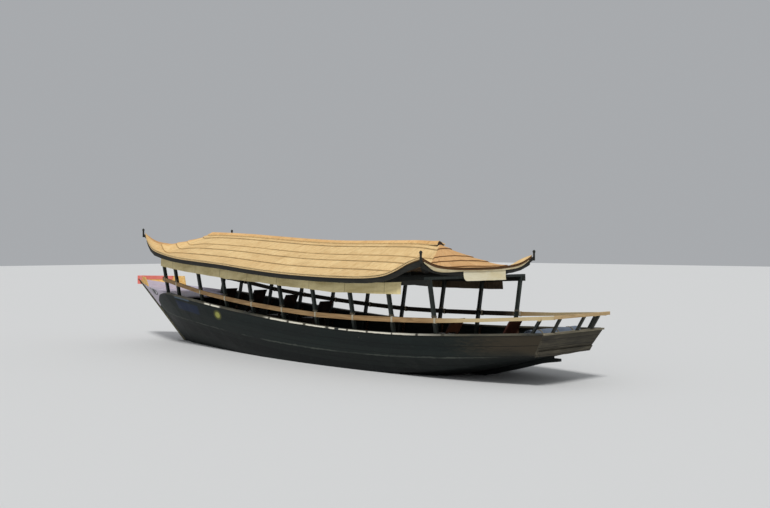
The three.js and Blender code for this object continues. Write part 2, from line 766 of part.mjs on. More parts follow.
function roofZone() {
  const rise = 300;
  const below = roofThickness + roofSeam + gap;
  const seamless = [
    endGrid(sternCorner, sternEaveMiddle, 0), endGrid(bowCorner, bowEaveMiddle, 0)];
  const grids = [...roofGrids.map(([, grid]) => grid), ...seamless];
  const zones = grids.map((grid) => {
    const wider = grid.map((row) => {
      const eave = row[row.length - 1];
      const before = row[row.length - 2];
      const run = 1 + zoneMargin / Math.hypot(eave[0] - before[0], eave[1] - before[1]);
      return [...row, eave.map((value, i) => mix(before[i], value, run))];
    });
    return slab(lowered(wider, -rise), lowered(wider, below));
  });
  const seam = roofRows.map((row) => [[row.ridgeX, -ridgeHalf - 2], [row.ridgeX, ridgeHalf + 2]]);
  zones.push(slab(
    seam.map((pair, i) => pair.map(([x, y]) => [x, y, roofRows[i].ridgeZ + rise])),
    seam.map((pair, i) => pair.map(([x, y]) => [x, y, roofRows[i].ridgeZ - below]))));
  return united(zones);
}

const underRoof = roofZone();

// Height of the roof's underside above a point of the plan
function undersideAt(x, y) {
  let lowest = Infinity;
  const consider = (a, b, c) => {
    const spread = (b[0] - a[0]) * (c[1] - a[1]) - (c[0] - a[0]) * (b[1] - a[1]);
    if (Math.abs(spread) < 1e-6) {
      return;
    }
    const v = ((x - a[0]) * (c[1] - a[1]) - (c[0] - a[0]) * (y - a[1])) / spread;
    const w = ((b[0] - a[0]) * (y - a[1]) - (x - a[0]) * (b[1] - a[1])) / spread;
    if (v >= -1e-6 && w >= -1e-6 && v + w <= 1 + 1e-6) {
      lowest = Math.min(lowest, a[2] + v * (b[2] - a[2]) + w * (c[2] - a[2]) - roofThickness);
    }
  };
  for (const [, grid] of roofGrids) {
    for (let i = 0; i < grid.length - 1; i += 1) {
      for (let j = 0; j < shares.length - 1; j += 1) {
        consider(grid[i][j], grid[i + 1][j], grid[i + 1][j + 1]);
        consider(grid[i][j], grid[i + 1][j + 1], grid[i][j + 1]);
      }
    }
  }
  return lowest;
}

// Ridge cap, with its ends lifted

const ridgeCapShare = 0.06;
const ridgeCapThickness = 24;
const ridgeEndLift = 6;

function ridgeCap() {
  const outer = [];
  const inner = [];
  const rows = roofRows.slice(1, -1);
  rows.forEach((row, i) => {
    const [x, footY, footZ] = sideSlopePoint(row, ridgeCapShare, 1);
    const lift = i === 0 || i === rows.length - 1 ? ridgeEndLift : 0;
    const line = (rise, extra) => [
      [x, -footY, footZ + rise], [row.ridgeX, -ridgeHalf, row.ridgeZ + rise + extra],
      [row.ridgeX, ridgeHalf, row.ridgeZ + rise + extra], [x, footY, footZ + rise]];
    outer.push(line(ridgeCapThickness, lift));
    inner.push(line(-roofThickness / 2, 0));
  });
  const below = roofGrids.map(([, grid]) => slab(lowered(grid, -gap), lowered(grid, 2 * roofThickness)));
  const seam = roofRows.map((row) => [
    [row.ridgeX, -ridgeHalf - 2, row.ridgeZ + gap], [row.ridgeX, ridgeHalf + 2, row.ridgeZ + gap]]);
  below.push(slab(seam, lowered(seam, 2 * roofThickness)));
  return fromSolid(toSolid(slab(outer, inner)).subtract(united(below)));
}

addPiece('RidgeCap', ridgeCap(), finish.mat);

// Eave frame: a fascia all round, a hip rafter under each corner and its upright finial

const fasciaInset = 34;
const fasciaHeight = 104;
const fasciaThickness = 26;
const frameLap = 8;
const hipWidth = 46;
const hipDepth = 60;
const hipForeShares = 2;
const hipEndOut = { along: 12, across: 14 };

function eaveRing() {
  const endColumns = [...endEave.slice(1), ...endEave.slice(1, -1).reverse()];
  const endLine = (corner, middleZ, side) => endColumns.map(([breadth, rise], i) => [
    corner.eaveX + Math.sign(corner.eaveX) * roofSeam,
    (i < endEave.length - 1 ? side : -side) * corner.half * breadth,
    mix(middleZ, corner.eaveZ, rise)]);
  const sideLine = (side) => roofRows.map((row) => [row.eaveX, side * row.half, row.eaveZ]);
  return [
    ...sideLine(-1), ...endLine(bowCorner, bowEaveMiddle, -1), ...sideLine(1).reverse(),
    ...endLine(sternCorner, sternEaveMiddle, 1)];
}

function eaveFascia() {
  const middleX = (sternCorner.eaveX + bowCorner.eaveX) / 2;
  const spanX = sternCorner.eaveX - bowCorner.eaveX;
  const scaleX = 1 - 2 * fasciaInset / spanX;
  const path = eaveRing().map(([x, y]) => {
    const insetX = middleX + (x - middleX) * scaleX;
    const insetY = y - Math.sign(y) * Math.min(Math.abs(y), fasciaInset);
    return [insetX, insetY, undersideAt(insetX, insetY) + frameLap - fasciaHeight / 2];
  });
  return bar(path, fasciaThickness, fasciaHeight, true);
}

function hipRafter(corner, side) {
  const middle = roofThickness - frameLap + hipDepth / 2;
  const path = shares.slice(hipForeShares, -1).map((share) => {
    const [x, y, z] = sideSlopePoint(corner, share, side);
    return [x, y, z - middle];
  });
  const out = Math.sign(corner.eaveX);
  const [x, y, z] = sideSlopePoint(corner, 1, side);
  path.push([x + out * hipEndOut.along, y + side * hipEndOut.across, z - middle]);
  return bar(path, hipWidth, hipDepth);
}

const finial = { radius: 20, knob: 30, rise: 95, point: 12, along: 26, across: 28 };

function cornerFinial(corner, side) {
  const out = Math.sign(corner.eaveX);
  const foot = -roofThickness - hipDepth;
  const profile = [
    [0, foot], [finial.radius, foot], [finial.radius, finial.rise * 0.5], [finial.knob, finial.rise * 0.75],
    [finial.radius, finial.rise], [0, finial.rise + finial.point]];
  const geometry = new THREE.LatheGeometry(profile.map(([r, z]) => new THREE.Vector2(r, z)), 8);
  geometry.rotateX(Math.PI / 2);
  geometry.translate(corner.eaveX + out * finial.along, side * (corner.half + finial.across), corner.eaveZ);
  return geometry;
}

const eaveFrame = [eaveFascia()];
for (const corner of [sternCorner, bowCorner]) {
  for (const [, side] of sides) {
    eaveFrame.push(hipRafter(corner, side), cornerFinial(corner, side));
  }
}
addPiece('EaveFrame', fromSolid(united(eaveFrame).subtract(underRoof)), finish.darkFrame);

// Post frames: two flared posts, a tie beam and, under the full ridge, a pair of rafters

const plateTops = [1700, 1655, 1645, 1650, 1680, 1740, 1815, 1895, 1965, 2090];
const plateWidth = 60;
const plateHeight = 80;
const rafterDepth = 70;
const rafterStep = 90;
const hipBeamDepth = 46;
const beamEnd = 12;

const postCentre = (x, z) => {
  const { sheer: [half, height] } = plankedSection(x);
  return half - postInset + postFlare * (z - height);
};

function plateTopAt(x) {
  for (let i = 1; i < postXs.length; i += 1) {
    if (x >= postXs[i]) {
      const t = (x - postXs[i - 1]) / (postXs[i] - postXs[i - 1]);
      return mix(plateTops[i - 1], plateTops[i], Math.max(t, 0));
    }
  }
  return plateTops[plateTops.length - 1];
}

// The hull below the sheer, apart from the space inside its ribs
function hullShell() {
  const rows = stationSteps.map(sectionAt);
  const whole = slab(
    rows.map(({ x, sheer }) => [[x, -1700, sheer[1]], [x, 1700, sheer[1]]]),
    rows.map(({ x }) => [[x, -1700, -700], [x, 1700, -700]]));
  return toSolid(whole).subtract(withinRibs);
}

const outsideRibs = hullShell();

// The room that the posts of one side take up, a gap larger all round
function postRoom(side) {
  const low = 800;
  const high = 2200;
  const half = postSize / 2 + gap;
  return united(postXs.map((x) => slab(
    [-half, half].map((dx) => [low, high].map((z) => [x + dx, side * (postCentre(x, z) + half), z])),
    [-half, half].map((dx) => [low, high].map((z) => [x + dx, side * (postCentre(x, z) - half), z])))));
}

function postFrame(index) {
  const x = postXs[index];
  const beamFoot = Math.max(plateTopAt(x - postSize / 2), plateTopAt(x + postSize / 2)) + 2 * gap;
  const foot = index < postsOnFloor ? floorTop + gap : foreDeckTop(x - postSize / 2) + gap;
  const half = postSize / 2;
  const isHip = index === 0 || index === postXs.length - 1;
  const footY = postCentre(x, foot);
  const headY = postCentre(x, beamFoot);
  const endY = headY + half + plateWidth + beamEnd;
  const ceiling = (y) => {
    const beside = Math.max(y, ridgeHalf + 1);
    const level = Math.max(undersideAt(x - half, beside), undersideAt(x + half, beside)) + 20;
    return isHip ? Math.min(level, beamFoot + hipBeamDepth) : level;
  };
  const top = [];
  for (let y = endY; y > 0; y -= rafterStep) {
    top.push([y, ceiling(y)]);
  }
  top.push([0, ceiling(0)]);
  const post = [[footY - half, foot], [footY + half, foot], [headY + half, beamFoot]];
  const right = [...post, [endY, beamFoot], ...top];
  const mirrored = right.slice(0, -1).reverse().map(([y, z]) => [-y, z]);
  const outline = [...right, ...mirrored, [-(headY - half), beamFoot], [headY - half, beamFoot]];
  const apex = ceiling(0) - rafterDepth;
  const beamTop = beamFoot + postSize;
  const reach = top.filter(([y, z]) => y < headY - half && z - rafterDepth > beamTop + 10);
  const holes = [];
  if (apex - beamTop > 120 && reach.length > 2) {
    const rim = reach.map(([y, z]) => [y, z - rafterDepth]);
    const left = rim.slice(0, -1).reverse().map(([y, z]) => [-y, z]);
    holes.push([[rim[0][0], beamTop], ...rim, ...left, [-rim[0][0], beamTop]]);
  }
  const frame = toSolid(crossPiece(outline, x, postSize, holes)).subtract(underRoof);
  return fromSolid(frame.subtract(outsideRibs));
}

postXs.forEach((x, index) => {
  addPiece(`PostFrame${index + 1}`, postFrame(index), finish.darkFrame);
});

// Eave plates, notched over the outer faces of the posts and under the ends of the tie beams

const notch = 5;
const plateEnd = 45;

const plateY = (i) => postCentre(postXs[i], plateTops[i]) + postSize / 2 + plateWidth / 2 - notch;

function eavePlate(side) {
  const path = postXs.map((x, i) => [x, side * plateY(i), plateTops[i] - plateHeight / 2]);
  path.unshift([postXs[0] + plateEnd, path[0][1], path[0][2]]);
  const last = path[path.length - 1];
  path.push([last[0] - plateEnd, last[1], last[2]]);
  return fromSolid(toSolid(bar(path, plateWidth, plateHeight)).subtract(postRoom(side)));
}

for (const [sideName, side] of sides) {
  addPiece(`EavePlate${sideName}`, eavePlate(side), finish.darkFrame);
}

// Rails lashed outboard of the posts, and the stern rail on its raked stanchions

const railPath = [
  [6760, 1140], [6000, 1090], [5400, 1050], [4600, 1012], [3600, 985], [2600, 970], [1600, 975], [600, 1020],
  [-400, 1080], [-1400, 1160], [-2400, 1260], [-3100, 1360], [-3880, 1470], [-4170, 1505],
];
const railLevel = (x) => between(railPath, x);

// Height of the rail's section, which thins towards the stern
const railTaper = [[5500, 58], [4300, railHeight], [-4200, railHeight]];
const sideStanchion = { footX: 6360, footY: 800, headX: 6510, width: 50 };

// The poles that a side rail is joined from, end to end at the posts
const railPoles = [
  { name: 'SternPole', aft: 6735, fore: 4555, steps: 12 },
  { name: 'AftPole', aft: 4555, fore: 1575, steps: 16 },
  { name: 'MiddlePole', aft: 1575, fore: -2470, steps: 22 },
  { name: 'ForePole', aft: -2470, fore: -4160, steps: 10 },
];

// Middle height, half height and inner face of a side rail
function railPlace(x) {
  const z = railLevel(x);
  const half = between(railTaper, Math.min(x, railTaper[0][0])) / 2;
  return { z, half, y: postCentre(x, z + railHeight / 2) + postSize / 2 + railGap };
}

function leaningStanchion(side) {
  const { footX, footY, headX, width } = sideStanchion;
  const head = railPlace(headX);
  const half = width / 2;
  const foot = plankedSection(footX + half).sheer[1] + capThickness + 2 * gap;
  const headY = head.y + railThickness / 2;
  const ends = [[footX, footY, foot], [headX, headY, head.z]];
  const faces = [-half, half].map((out) => ends.map(([x, y, z]) => [
    [x - half, side * (y + out), z], [x + half, side * (y + out), z]]));
  return slab(...faces);
}

function railPole({ aft, fore, steps }, side) {
  const outer = [];
  const inner = [];
  const [high, low] = [aft - gap / 2, fore + gap / 2];
  for (let i = 0; i <= steps; i += 1) {
    const x = mix(high, low, i / steps);
    const { z, half, y } = railPlace(x);
    outer.push([[x, side * (y + railThickness), z - half], [x, side * (y + railThickness), z + half]]);
    inner.push([[x, side * y, z - half], [x, side * y, z + half]]);
  }
  const pole = slab(outer, inner);
  const parts = aft > sideStanchion.headX ? [pole, leaningStanchion(side)] : [pole];
  return fromSolid(united(parts).subtract(postRoom(side)));
}

for (const [sideName, side] of sides) {
  for (const row of railPoles) {
    addPiece(`${row.name}${sideName}`, railPole(row, side), finish.railWood);
  }
}

const sternBar = { z: 1150, half: 770, width: 36, height: 54 };
const sternStanchion = { ys: [-610, 60, 480], width: 50, depth: 44, inset: 40, lean: 0.62 };

function sternRail() {
  const foot = stations[0].sheer[1] + transomCapThickness + 2 * gap;
  const footX = stations[0].x + sternStanchion.inset;
  const headX = footX + sternStanchion.lean * (sternBar.z - foot);
  const [barHalf, barRise] = [sternBar.width / 2, sternBar.height / 2];
  const pieces = [block([headX - barHalf, -sternBar.half, sternBar.z - barRise],
    [headX + barHalf, sternBar.half, sternBar.z + barRise])];
  for (const y of sternStanchion.ys) {
    const [low, high] = [y - sternStanchion.width / 2, y + sternStanchion.width / 2];
    const faces = [-1, 1].map((way) => [[footX, foot], [headX, sternBar.z]].map(([x, z]) => {
      const faceX = x + way * sternStanchion.depth / 2;
      return [[faceX, low, z], [faceX, high, z]];
    }));
    pieces.push(slab(...faces));
  }
  return joined(pieces);
}

addPiece('SternRail', sternRail(), finish.railWood);

// Canvas valances on the eave plates and the blind under the stern eave

const valanceDrop = 22;
const valanceFlare = 6;
const valanceFoot = [[4020, 1443], [3570, 1435], [2270, 1427], [1630, 1462], [840, 1496], [60, 1545],
  [-370, 1556], [-1110, 1588], [-1890, 1642], [-2850, 1706], [-3850, 1800], [-4040, 1818]];

function valance(side) {
  const outer = [];
  const inner = [];
  const plateLine = postXs.map((x, i) => [x, plateY(i) + plateWidth / 2 + 2 * gap]);
  const ends = [valanceFoot[0][0], valanceFoot[valanceFoot.length - 1][0]];
  const xs = [ends[0], ...postXs.filter((x) => x < ends[0] && x > ends[1]), ends[1]];
  for (const x of xs) {
    const top = plateTopAt(x) - valanceDrop;
    const foot = between(valanceFoot, x);
    const y = between(plateLine, x);
    const hung = (depth) => [[x, side * (y + depth), top], [x, side * (y + depth + valanceFlare), foot]];
    outer.push(hung(clothThickness));
    inner.push(hung(0));
  }
  return slab(outer, inner);
}

for (const [sideName, side] of sides) {
  addPiece(`Valance${sideName}`, valance(side), finish.canvas);
}

const blind = { from: -474, to: 755, foot: 1655 };

function sternBlind() {
  const x = sternCorner.eaveX + roofSeam - fasciaInset + fasciaThickness / 2 + gap;
  const ys = [blind.from, 0, blind.to];
  const top = Math.min(...ys.map((y) => undersideAt(x + clothThickness, y))) - 4 * gap;
  return block([x, blind.from, blind.foot], [x + clothThickness, blind.to, top]);
}

addPiece('SternBlind', sternBlind(), finish.canvas);

// Low wooden chairs in one row on the floor, with solid backs that lean aft. x is where the back's top
// stands, seat and top are heights above the water.

const chair = { width: 330, depth: 380, lean: 0.62, leg: 40, board: 24, backGap: 70 };
const chairs = [
  { name: 'HelmSeat', x: 5420, seat: 660, top: 975 },
  { name: 'Chair1', x: 4130, seat: 640, top: 950 },
  { name: 'Chair2', x: 570, seat: 760, top: 1125 },
  { name: 'Chair3', x: -520, seat: 760, top: 1220 },
  { name: 'Chair4', x: -1600, seat: 780, top: 1290 },
  { name: 'Chair5', x: -2680, seat: 780, top: 1290 },
];

function woodenChair({ x, seat, top }) {
  const base = floorTop + gap;
  const rear = x - chair.lean * (top - seat);
  const fore = rear - chair.depth;
  const railFoot = seat - 55;
  const frame = [
    [fore, base], [fore + chair.leg, base], [fore + chair.leg, railFoot], [rear - chair.leg, railFoot],
    [rear - chair.leg, base], [rear, base], [rear, seat], [x, top], [x - chair.leg, top],
    [rear - chair.leg, seat], [fore, seat]];
  const pieces = [-1, 1].map((side) => sidePiece(frame, side * (chair.width - chair.leg) / 2, chair.leg));
  pieces.push(block([fore - 12, -chair.width / 2 - 8, seat - 2],
    [rear - chair.leg, chair.width / 2 + 8, seat + chair.board]));
  const backFoot = seat + chair.backGap;
  const backAt = (z) => rear + chair.lean * (z - seat) - chair.leg / 2;
  const back = [[backAt(backFoot), backFoot], [backAt(backFoot) + chair.board, backFoot],
    [backAt(top) + chair.board, top + 12], [backAt(top), top + 12]];
  pieces.push(sidePiece(back, 0, chair.width + 16));
  return joined(pieces);
}

for (const row of chairs) {
  addPiece(row.name, woodenChair(row), finish.redWood);
}

// Awning rolled on its pole, lying on the aft deck along the transom

const roll = { x: 6180, radius: 130, half: 620, poleRadius: 24, poleHalf: 690 };

function awningRoll() {
  const cloth = new THREE.CylinderGeometry(roll.radius, roll.radius, roll.half * 2, 20);
  cloth.translate(roll.x, 0, 0);
  const pole = new THREE.CylinderGeometry(roll.poleRadius, roll.poleRadius, roll.poleHalf * 2, 12);
  pole.translate(roll.x, 0, 0);
  const geometry = joined([cloth, pole]);
  geometry.translate(0, 0, aftDeckTop + gap + roll.radius);
  return geometry;
}

addPiece('AwningRoll', awningRoll(), finish.tarpaulin);

// Engine under the after floor

const engine = { aft: 3520, fore: 3000, half: 210, clearAbove: 12, clearBelow: 1.95 };

function engineBlock() {
  const low = plankedKeelAt(engine.aft) + ribClear + keelsonRise + keelsonHeight + engine.clearBelow;
  const high = floorTop - floorThickness - engine.clearAbove;
  return block([engine.fore, -engine.half, low], [engine.aft, engine.half, high]);
}

addPiece('Engine', engineBlock(), finish.iron);

// Stern tube and strut under the keel, with the propeller on its shaft; both are drawn along x, then tilted
// about the propeller's centre

const shaft = { x: 4560, z: -330, radius: 16, inTube: 140, tilt: 8 };
const tube = { aft: -60, fore: -1040, radius: 34, bore: 17, boreDepth: 150 };
const strut = { aft: -130, fore: -250, thickness: 24, foot: 21, height: 255 };
const blade = { count: 3, centre: 100, halfWidth: 62, halfLength: 82, thickness: 12, pitch: 58 };
const hub = { foreRadius: 34, aftRadius: 42, length: 100, nut: 24 };
const roundSides = 16;

// A turned piece from (x, radius) points, with its axis along x
function turned(profile) {
  const geometry = new THREE.LatheGeometry(profile.map(([x, r]) => new THREE.Vector2(r, x)), roundSides);
  geometry.rotateZ(-Math.PI / 2);
  return geometry;
}

function ontoShaft(geometry) {
  geometry.rotateY(THREE.MathUtils.degToRad(shaft.tilt));
  geometry.translate(shaft.x, 0, shaft.z);
  return geometry;
}

function sternTube() {
  const boreEnd = tube.aft - tube.boreDepth;
  const body = turned([[tube.fore, 0], [tube.fore, tube.radius], [tube.aft, tube.radius],
    [tube.aft, tube.bore], [boreEnd, tube.bore], [boreEnd, 0]]);
  const half = strut.thickness / 2;
  const plate = block([strut.fore, -half, strut.foot], [strut.aft, half, strut.height]);
  const keelRoom = sidePiece(keelOutline(), 0, keelWidth + 2 * gap);
  const lowerRoom = keelRoom.clone().translate(0, 0, -2 * gap);
  const whole = united([ontoShaft(body), ontoShaft(plate)]);
  return fromSolid(whole.subtract(united([keelRoom, lowerRoom])));
}

addPiece('ShaftBracket', sternTube(), finish.iron);

function propeller() {
  const end = hub.length / 2;
  const pieces = [turned([[-end, 0], [-end, hub.foreRadius], [end, hub.aftRadius],
    [end + hub.nut, hub.aftRadius / 2], [end + hub.nut, 0]])];
  const pinEnd = tube.aft - shaft.inTube;
  pieces.push(turned([[pinEnd, 0], [pinEnd, shaft.radius], [0, shaft.radius], [0, 0]]));
  const outline = new THREE.Shape();
  outline.absellipse(0, blade.centre, blade.halfWidth, blade.halfLength, 0, Math.PI * 2, false);
  for (let i = 0; i < blade.count; i += 1) {
    const leaf = new THREE.ExtrudeGeometry(outline, {
      depth: blade.thickness, bevelEnabled: false, curveSegments: 8,
    });
    leaf.translate(0, 0, -blade.thickness / 2);
    leaf.rotateY(THREE.MathUtils.degToRad(blade.pitch));
    leaf.rotateX(i * 2 * Math.PI / blade.count);
    pieces.push(leaf);
  }
  return ontoShaft(joined(pieces));
}

addPiece('Propeller', propeller(), finish.brass);

export default sampan;
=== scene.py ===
import bpy, math, random
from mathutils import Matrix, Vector, noise


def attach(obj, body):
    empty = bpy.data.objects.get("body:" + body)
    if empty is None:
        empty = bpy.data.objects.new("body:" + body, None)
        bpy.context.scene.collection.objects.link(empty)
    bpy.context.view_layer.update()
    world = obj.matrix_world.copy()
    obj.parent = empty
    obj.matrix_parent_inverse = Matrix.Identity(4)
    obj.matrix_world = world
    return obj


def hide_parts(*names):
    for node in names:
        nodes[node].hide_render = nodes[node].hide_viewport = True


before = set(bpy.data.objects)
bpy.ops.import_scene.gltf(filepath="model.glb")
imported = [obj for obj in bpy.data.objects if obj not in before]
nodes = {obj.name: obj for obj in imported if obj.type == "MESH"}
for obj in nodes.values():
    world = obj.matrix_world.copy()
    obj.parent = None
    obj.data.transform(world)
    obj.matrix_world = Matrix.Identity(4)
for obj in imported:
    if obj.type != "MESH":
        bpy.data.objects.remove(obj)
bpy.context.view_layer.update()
print("frame loaded:", len(nodes), "nodes")


# Camera, as in the photograph

cameraSet = {
    "place": (16.08, -13.88, 2.29), "look": (-0.7059, 0.7083), "pitch": 0.52, "lens": 47.45, "sensor": 36,
    "reach": 400,
}


def makeCamera():
    data = bpy.data.cameras.new("photoCamera")
    data.lens = cameraSet["lens"]
    data.sensor_width = cameraSet["sensor"]
    data.clip_end = cameraSet["reach"]
    camera = bpy.data.objects.new("photoCamera", data)
    bpy.context.scene.collection.objects.link(camera)
    camera.location = cameraSet["place"]
    lookX, lookY = cameraSet["look"]
    down = -math.tan(math.radians(cameraSet["pitch"]))
    camera.rotation_euler = Vector((lookX, lookY, down)).to_track_quat("-Z", "Y").to_euler()
    bpy.context.scene.camera = camera


makeCamera()


# Numbers and curves

def mix(a, b, share):
    return a + (b - a) * share


def curveThrough(rows, t):  # smooth values at a place between the rows of a table
    last = len(rows) - 1
    i = min(max(int(t), 0), last - 1)
    f = t - i
    near = (rows[max(i - 1, 0)], rows[i], rows[i + 1], rows[min(i + 2, last)])
    values = []
    for a, b, c, d in zip(*near):
        bend = (2 * a - 5 * b + 4 * c - d) * f * f + (3 * b - a - 3 * c + d) * f ** 3
        values.append(0.5 * (2 * b + (c - a) * f + bend))
    return values


def lineAt(table, x):  # a value of a two-column table whose first column falls
    for (x0, v0), (x1, v1) in zip(table, table[1:]):
        if x >= x1:
            return mix(v0, v1, (x - x0) / (x1 - x0))
    return table[-1][1]


def kept(value):  # between 0 and 1
    return min(max(value, 0.0), 1.0)


def ripple(x, y=0.0, z=0.0):
    return noise.noise(Vector((x, y, z)))


# Hull lines of the frame, for the pieces and marks that follow them

hullRows = (  # x, half breadth and level of the sheer
    (6.57, 0.820, 0.865), (5.60, 1.062, 0.805), (4.60, 1.225, 0.757), (3.60, 1.285, 0.724),
    (2.40, 1.300, 0.724), (1.00, 1.275, 0.775), (-0.40, 1.215, 0.865), (-1.80, 1.130, 0.975),
    (-3.00, 1.040, 1.085), (-4.00, 0.930, 1.175), (-5.00, 0.650, 1.262), (-5.88, 0.330, 1.345),
    (-6.48, 0.045, 1.430),
)
postXs = (4.555, 3.6, 2.62, 1.575, 0.545, -0.485, -1.475, -2.47, -3.495, -4.08)
plateTops = (1.700, 1.655, 1.645, 1.650, 1.680, 1.740, 1.815, 1.895, 1.965, 2.090)
postSet = {"inset": 0.150, "flare": 0.19, "size": 0.060}


def sheerAt(x):
    low, high = 0.0, len(hullRows) - 1.0
    for _ in range(30):
        middle = (low + high) / 2
        if curveThrough(hullRows, middle)[0] > x:
            low = middle
        else:
            high = middle
    return curveThrough(hullRows, low)


def postCentre(x, z):
    _, half, sheer = sheerAt(x)
    return half - postSet["inset"] + postSet["flare"] * (z - sheer)


# Material helpers

def paint(red, green, blue):
    values = []
    for value in (red / 255, green / 255, blue / 255):
        values.append(value / 12.92 if value <= 0.04045 else ((value + 0.055) / 1.055) ** 2.4)
    return (*values, 1)


def paints(rows):
    return [paint(*row) for row in rows]


def startMaterial(name, roughness, metallic=0.0, gloss=0.3, sheen=0.0):
    material = bpy.data.materials.new(name)
    material.use_nodes = True
    tree = material.node_tree
    shader = tree.nodes["Principled BSDF"]
    for key, value in (("Roughness", roughness), ("Metallic", metallic), ("Specular IOR Level", gloss),
                       ("Sheen Weight", sheen)):
        shader.inputs[key].default_value = value
    return material, tree.nodes.new("ShaderNodeTexCoord").outputs["Object"]


def isSocket(value):
    return isinstance(value, bpy.types.NodeSocket)


def addNode(kind, inputs=(), tree=None, **settings):  # in the node tree that its inputs belong to
    tree = tree or next(value.id_data for _, value in inputs if isSocket(value))
    made = tree.nodes.new("ShaderNode" + kind)
    for name, value in settings.items():
        setattr(made, name, value)
    for socket, value in inputs:
        if isSocket(value):
            tree.links.new(value, made.inputs[socket])
        else:
            made.inputs[socket].default_value = value
    return made


def mathOf(operation, *values):
    return addNode("Math", list(enumerate(values)), operation=operation).outputs[0]


def times(first, second):
    return mathOf("MULTIPLY", first, second)


def plus(first, second):
    return mathOf("ADD", first, second)


def minus(first, second):
    return mathOf("SUBTRACT", first, second)


def axesOf(vector):
    return addNode("SeparateXYZ", [(0, vector)]).outputs


def vectorOf(x, y, z):
    return addNode("CombineXYZ", [(0, x), (1, y), (2, z)]).outputs[0]


def stretched(vector, scale):
    return addNode("Mapping", [("Vector", vector), ("Scale", scale)]).outputs[0]


def grainOf(vector, scale, detail, roughness, distortion=0.0):
    inputs = [("Vector", vector), ("Scale", scale), ("Detail", detail), ("Roughness", roughness),
              ("Distortion", distortion)]
    return addNode("TexNoise", inputs).outputs[0]


def longGrain(place, stretch, detail, roughness, distortion=0.0):
    return grainOf(stretched(place, stretch), 1.0, detail, roughness, distortion)


def stirred(value, field, amount):  # a value made uneven by a grain
    return plus(value, times(minus(field, 0.5), amount))


def rampOf(value, stops, ease="LINEAR"):
    ramp = addNode("ValToRGB", [(0, value)])
    ramp.color_ramp.interpolation = ease
    elements = ramp.color_ramp.elements
    while len(elements) < len(stops):
        elements.new(0.5)
    for element, (position, color) in zip(elements, stops):
        element.position = position
    for element, (position, color) in zip(elements, stops):
        element.color = color
    return ramp.outputs[0]


def maskOf(value, low, high):
    inputs = [("Value", value), ("From Min", low), ("From Max", high)]
    return addNode("MapRange", inputs, interpolation_type="SMOOTHSTEP").outputs[0]


def blendOf(share, first, second, way="MIX"):
    inputs = [(0, share), (6, first), (7, second)]
    return addNode("Mix", inputs, data_type="RGBA", blend_type=way).outputs[2]


def fadeOf(value, low, high):  # the opposite of maskOf
    return minus(1.0, maskOf(value, low, high))


def washOf(color, mask, strength, over):  # one color laid thinly over another
    return blendOf(times(mask, strength), color, over)


def finished(material, color, bump, shine=None):
    # bump is (height, strength, distance) and shine (value, lowest, highest roughness)
    tree = material.node_tree
    inputs = tree.nodes["Principled BSDF"].inputs
    tree.links.new(color, inputs["Base Color"])
    made = addNode("Bump", list(zip(("Height", "Strength", "Distance"), bump)))
    tree.links.new(made.outputs[0], inputs["Normal"])
    if shine:
        made = addNode("MapRange", list(zip(("Value", "To Min", "To Max"), shine)))
        tree.links.new(made.outputs[0], inputs["Roughness"])
    return material


# Finishes

def woodGrain(place, stretch, stops):
    field = longGrain(place, stretch, 6, 0.62, 0.6)
    return rampOf(field, stops), field


def boardLines(value, pitch, width):  # 1 on the joints between boards laid side by side
    cell = mathOf("FRACT", mathOf("DIVIDE", value, pitch))
    off = mathOf("ABSOLUTE", minus(cell, 0.5))
    return maskOf(off, 0.5 - width / pitch, 0.5 - width / pitch * 0.3)


def boardTones(value, pitch):  # a steady random number on each board
    board = mathOf("FLOOR", plus(mathOf("DIVIDE", value, pitch), 0.5))
    return addNode("TexWhiteNoise", [("W", board)], noise_dimensions="1D").outputs["Value"]


hullPaint = {
    "dark": paint(23, 31, 30), "deep": paint(16, 21, 21), "faded": paint(38, 45, 42), "low": paint(9, 12, 12),
    "bare": paint(112, 104, 88), "strakeBandTone": paint(70, 74, 68), "sternWood": paint(70, 61, 47),
    "seam": paint(12, 14, 14), "lilac": paint(192, 184, 196), "dullLilac": paint(150, 142, 146),
    "navy": paint(27, 40, 66), "paleBlue": paint(118, 142, 164), "olive": paint(176, 176, 92),
    "ring": paint(92, 92, 48), "pupil": paint(30, 33, 38), "white": paint(226, 222, 226),
}
# levels by x, highest power first, and the sheer's half breadth
sheerCurve = (-0.000031, 0.000591, 0.008206, -0.064905, 0.832653)
strakeCurve = (-0.000047, 0.000719, 0.008106, -0.048148, 0.371827)
halfCurve = (-0.000282, -0.000068, -0.004079, 0.044845, 1.230792)
hullLook = {
    "board": 0.17, "seam": 0.007, "strakeBandLevel": 0.012, "strakeBandEdge": (0.034, 0.048), "strakeBandGrain": 0.06,
    "wornX": (4.7, 6.2), "wornZ": (0.35, 0.62), "ragX": 1.6, "ragZ": 0.3,
    "toneShare": 0.35, "grainShare": 0.5, "streakShare": 0.3, "wornShare": 0.75, "seamShare": 0.8,
}


def curveOf(x, terms):
    value = terms[0]
    for term in terms[1:]:
        value = mathOf("MULTIPLY_ADD", value, x, term)
    return value


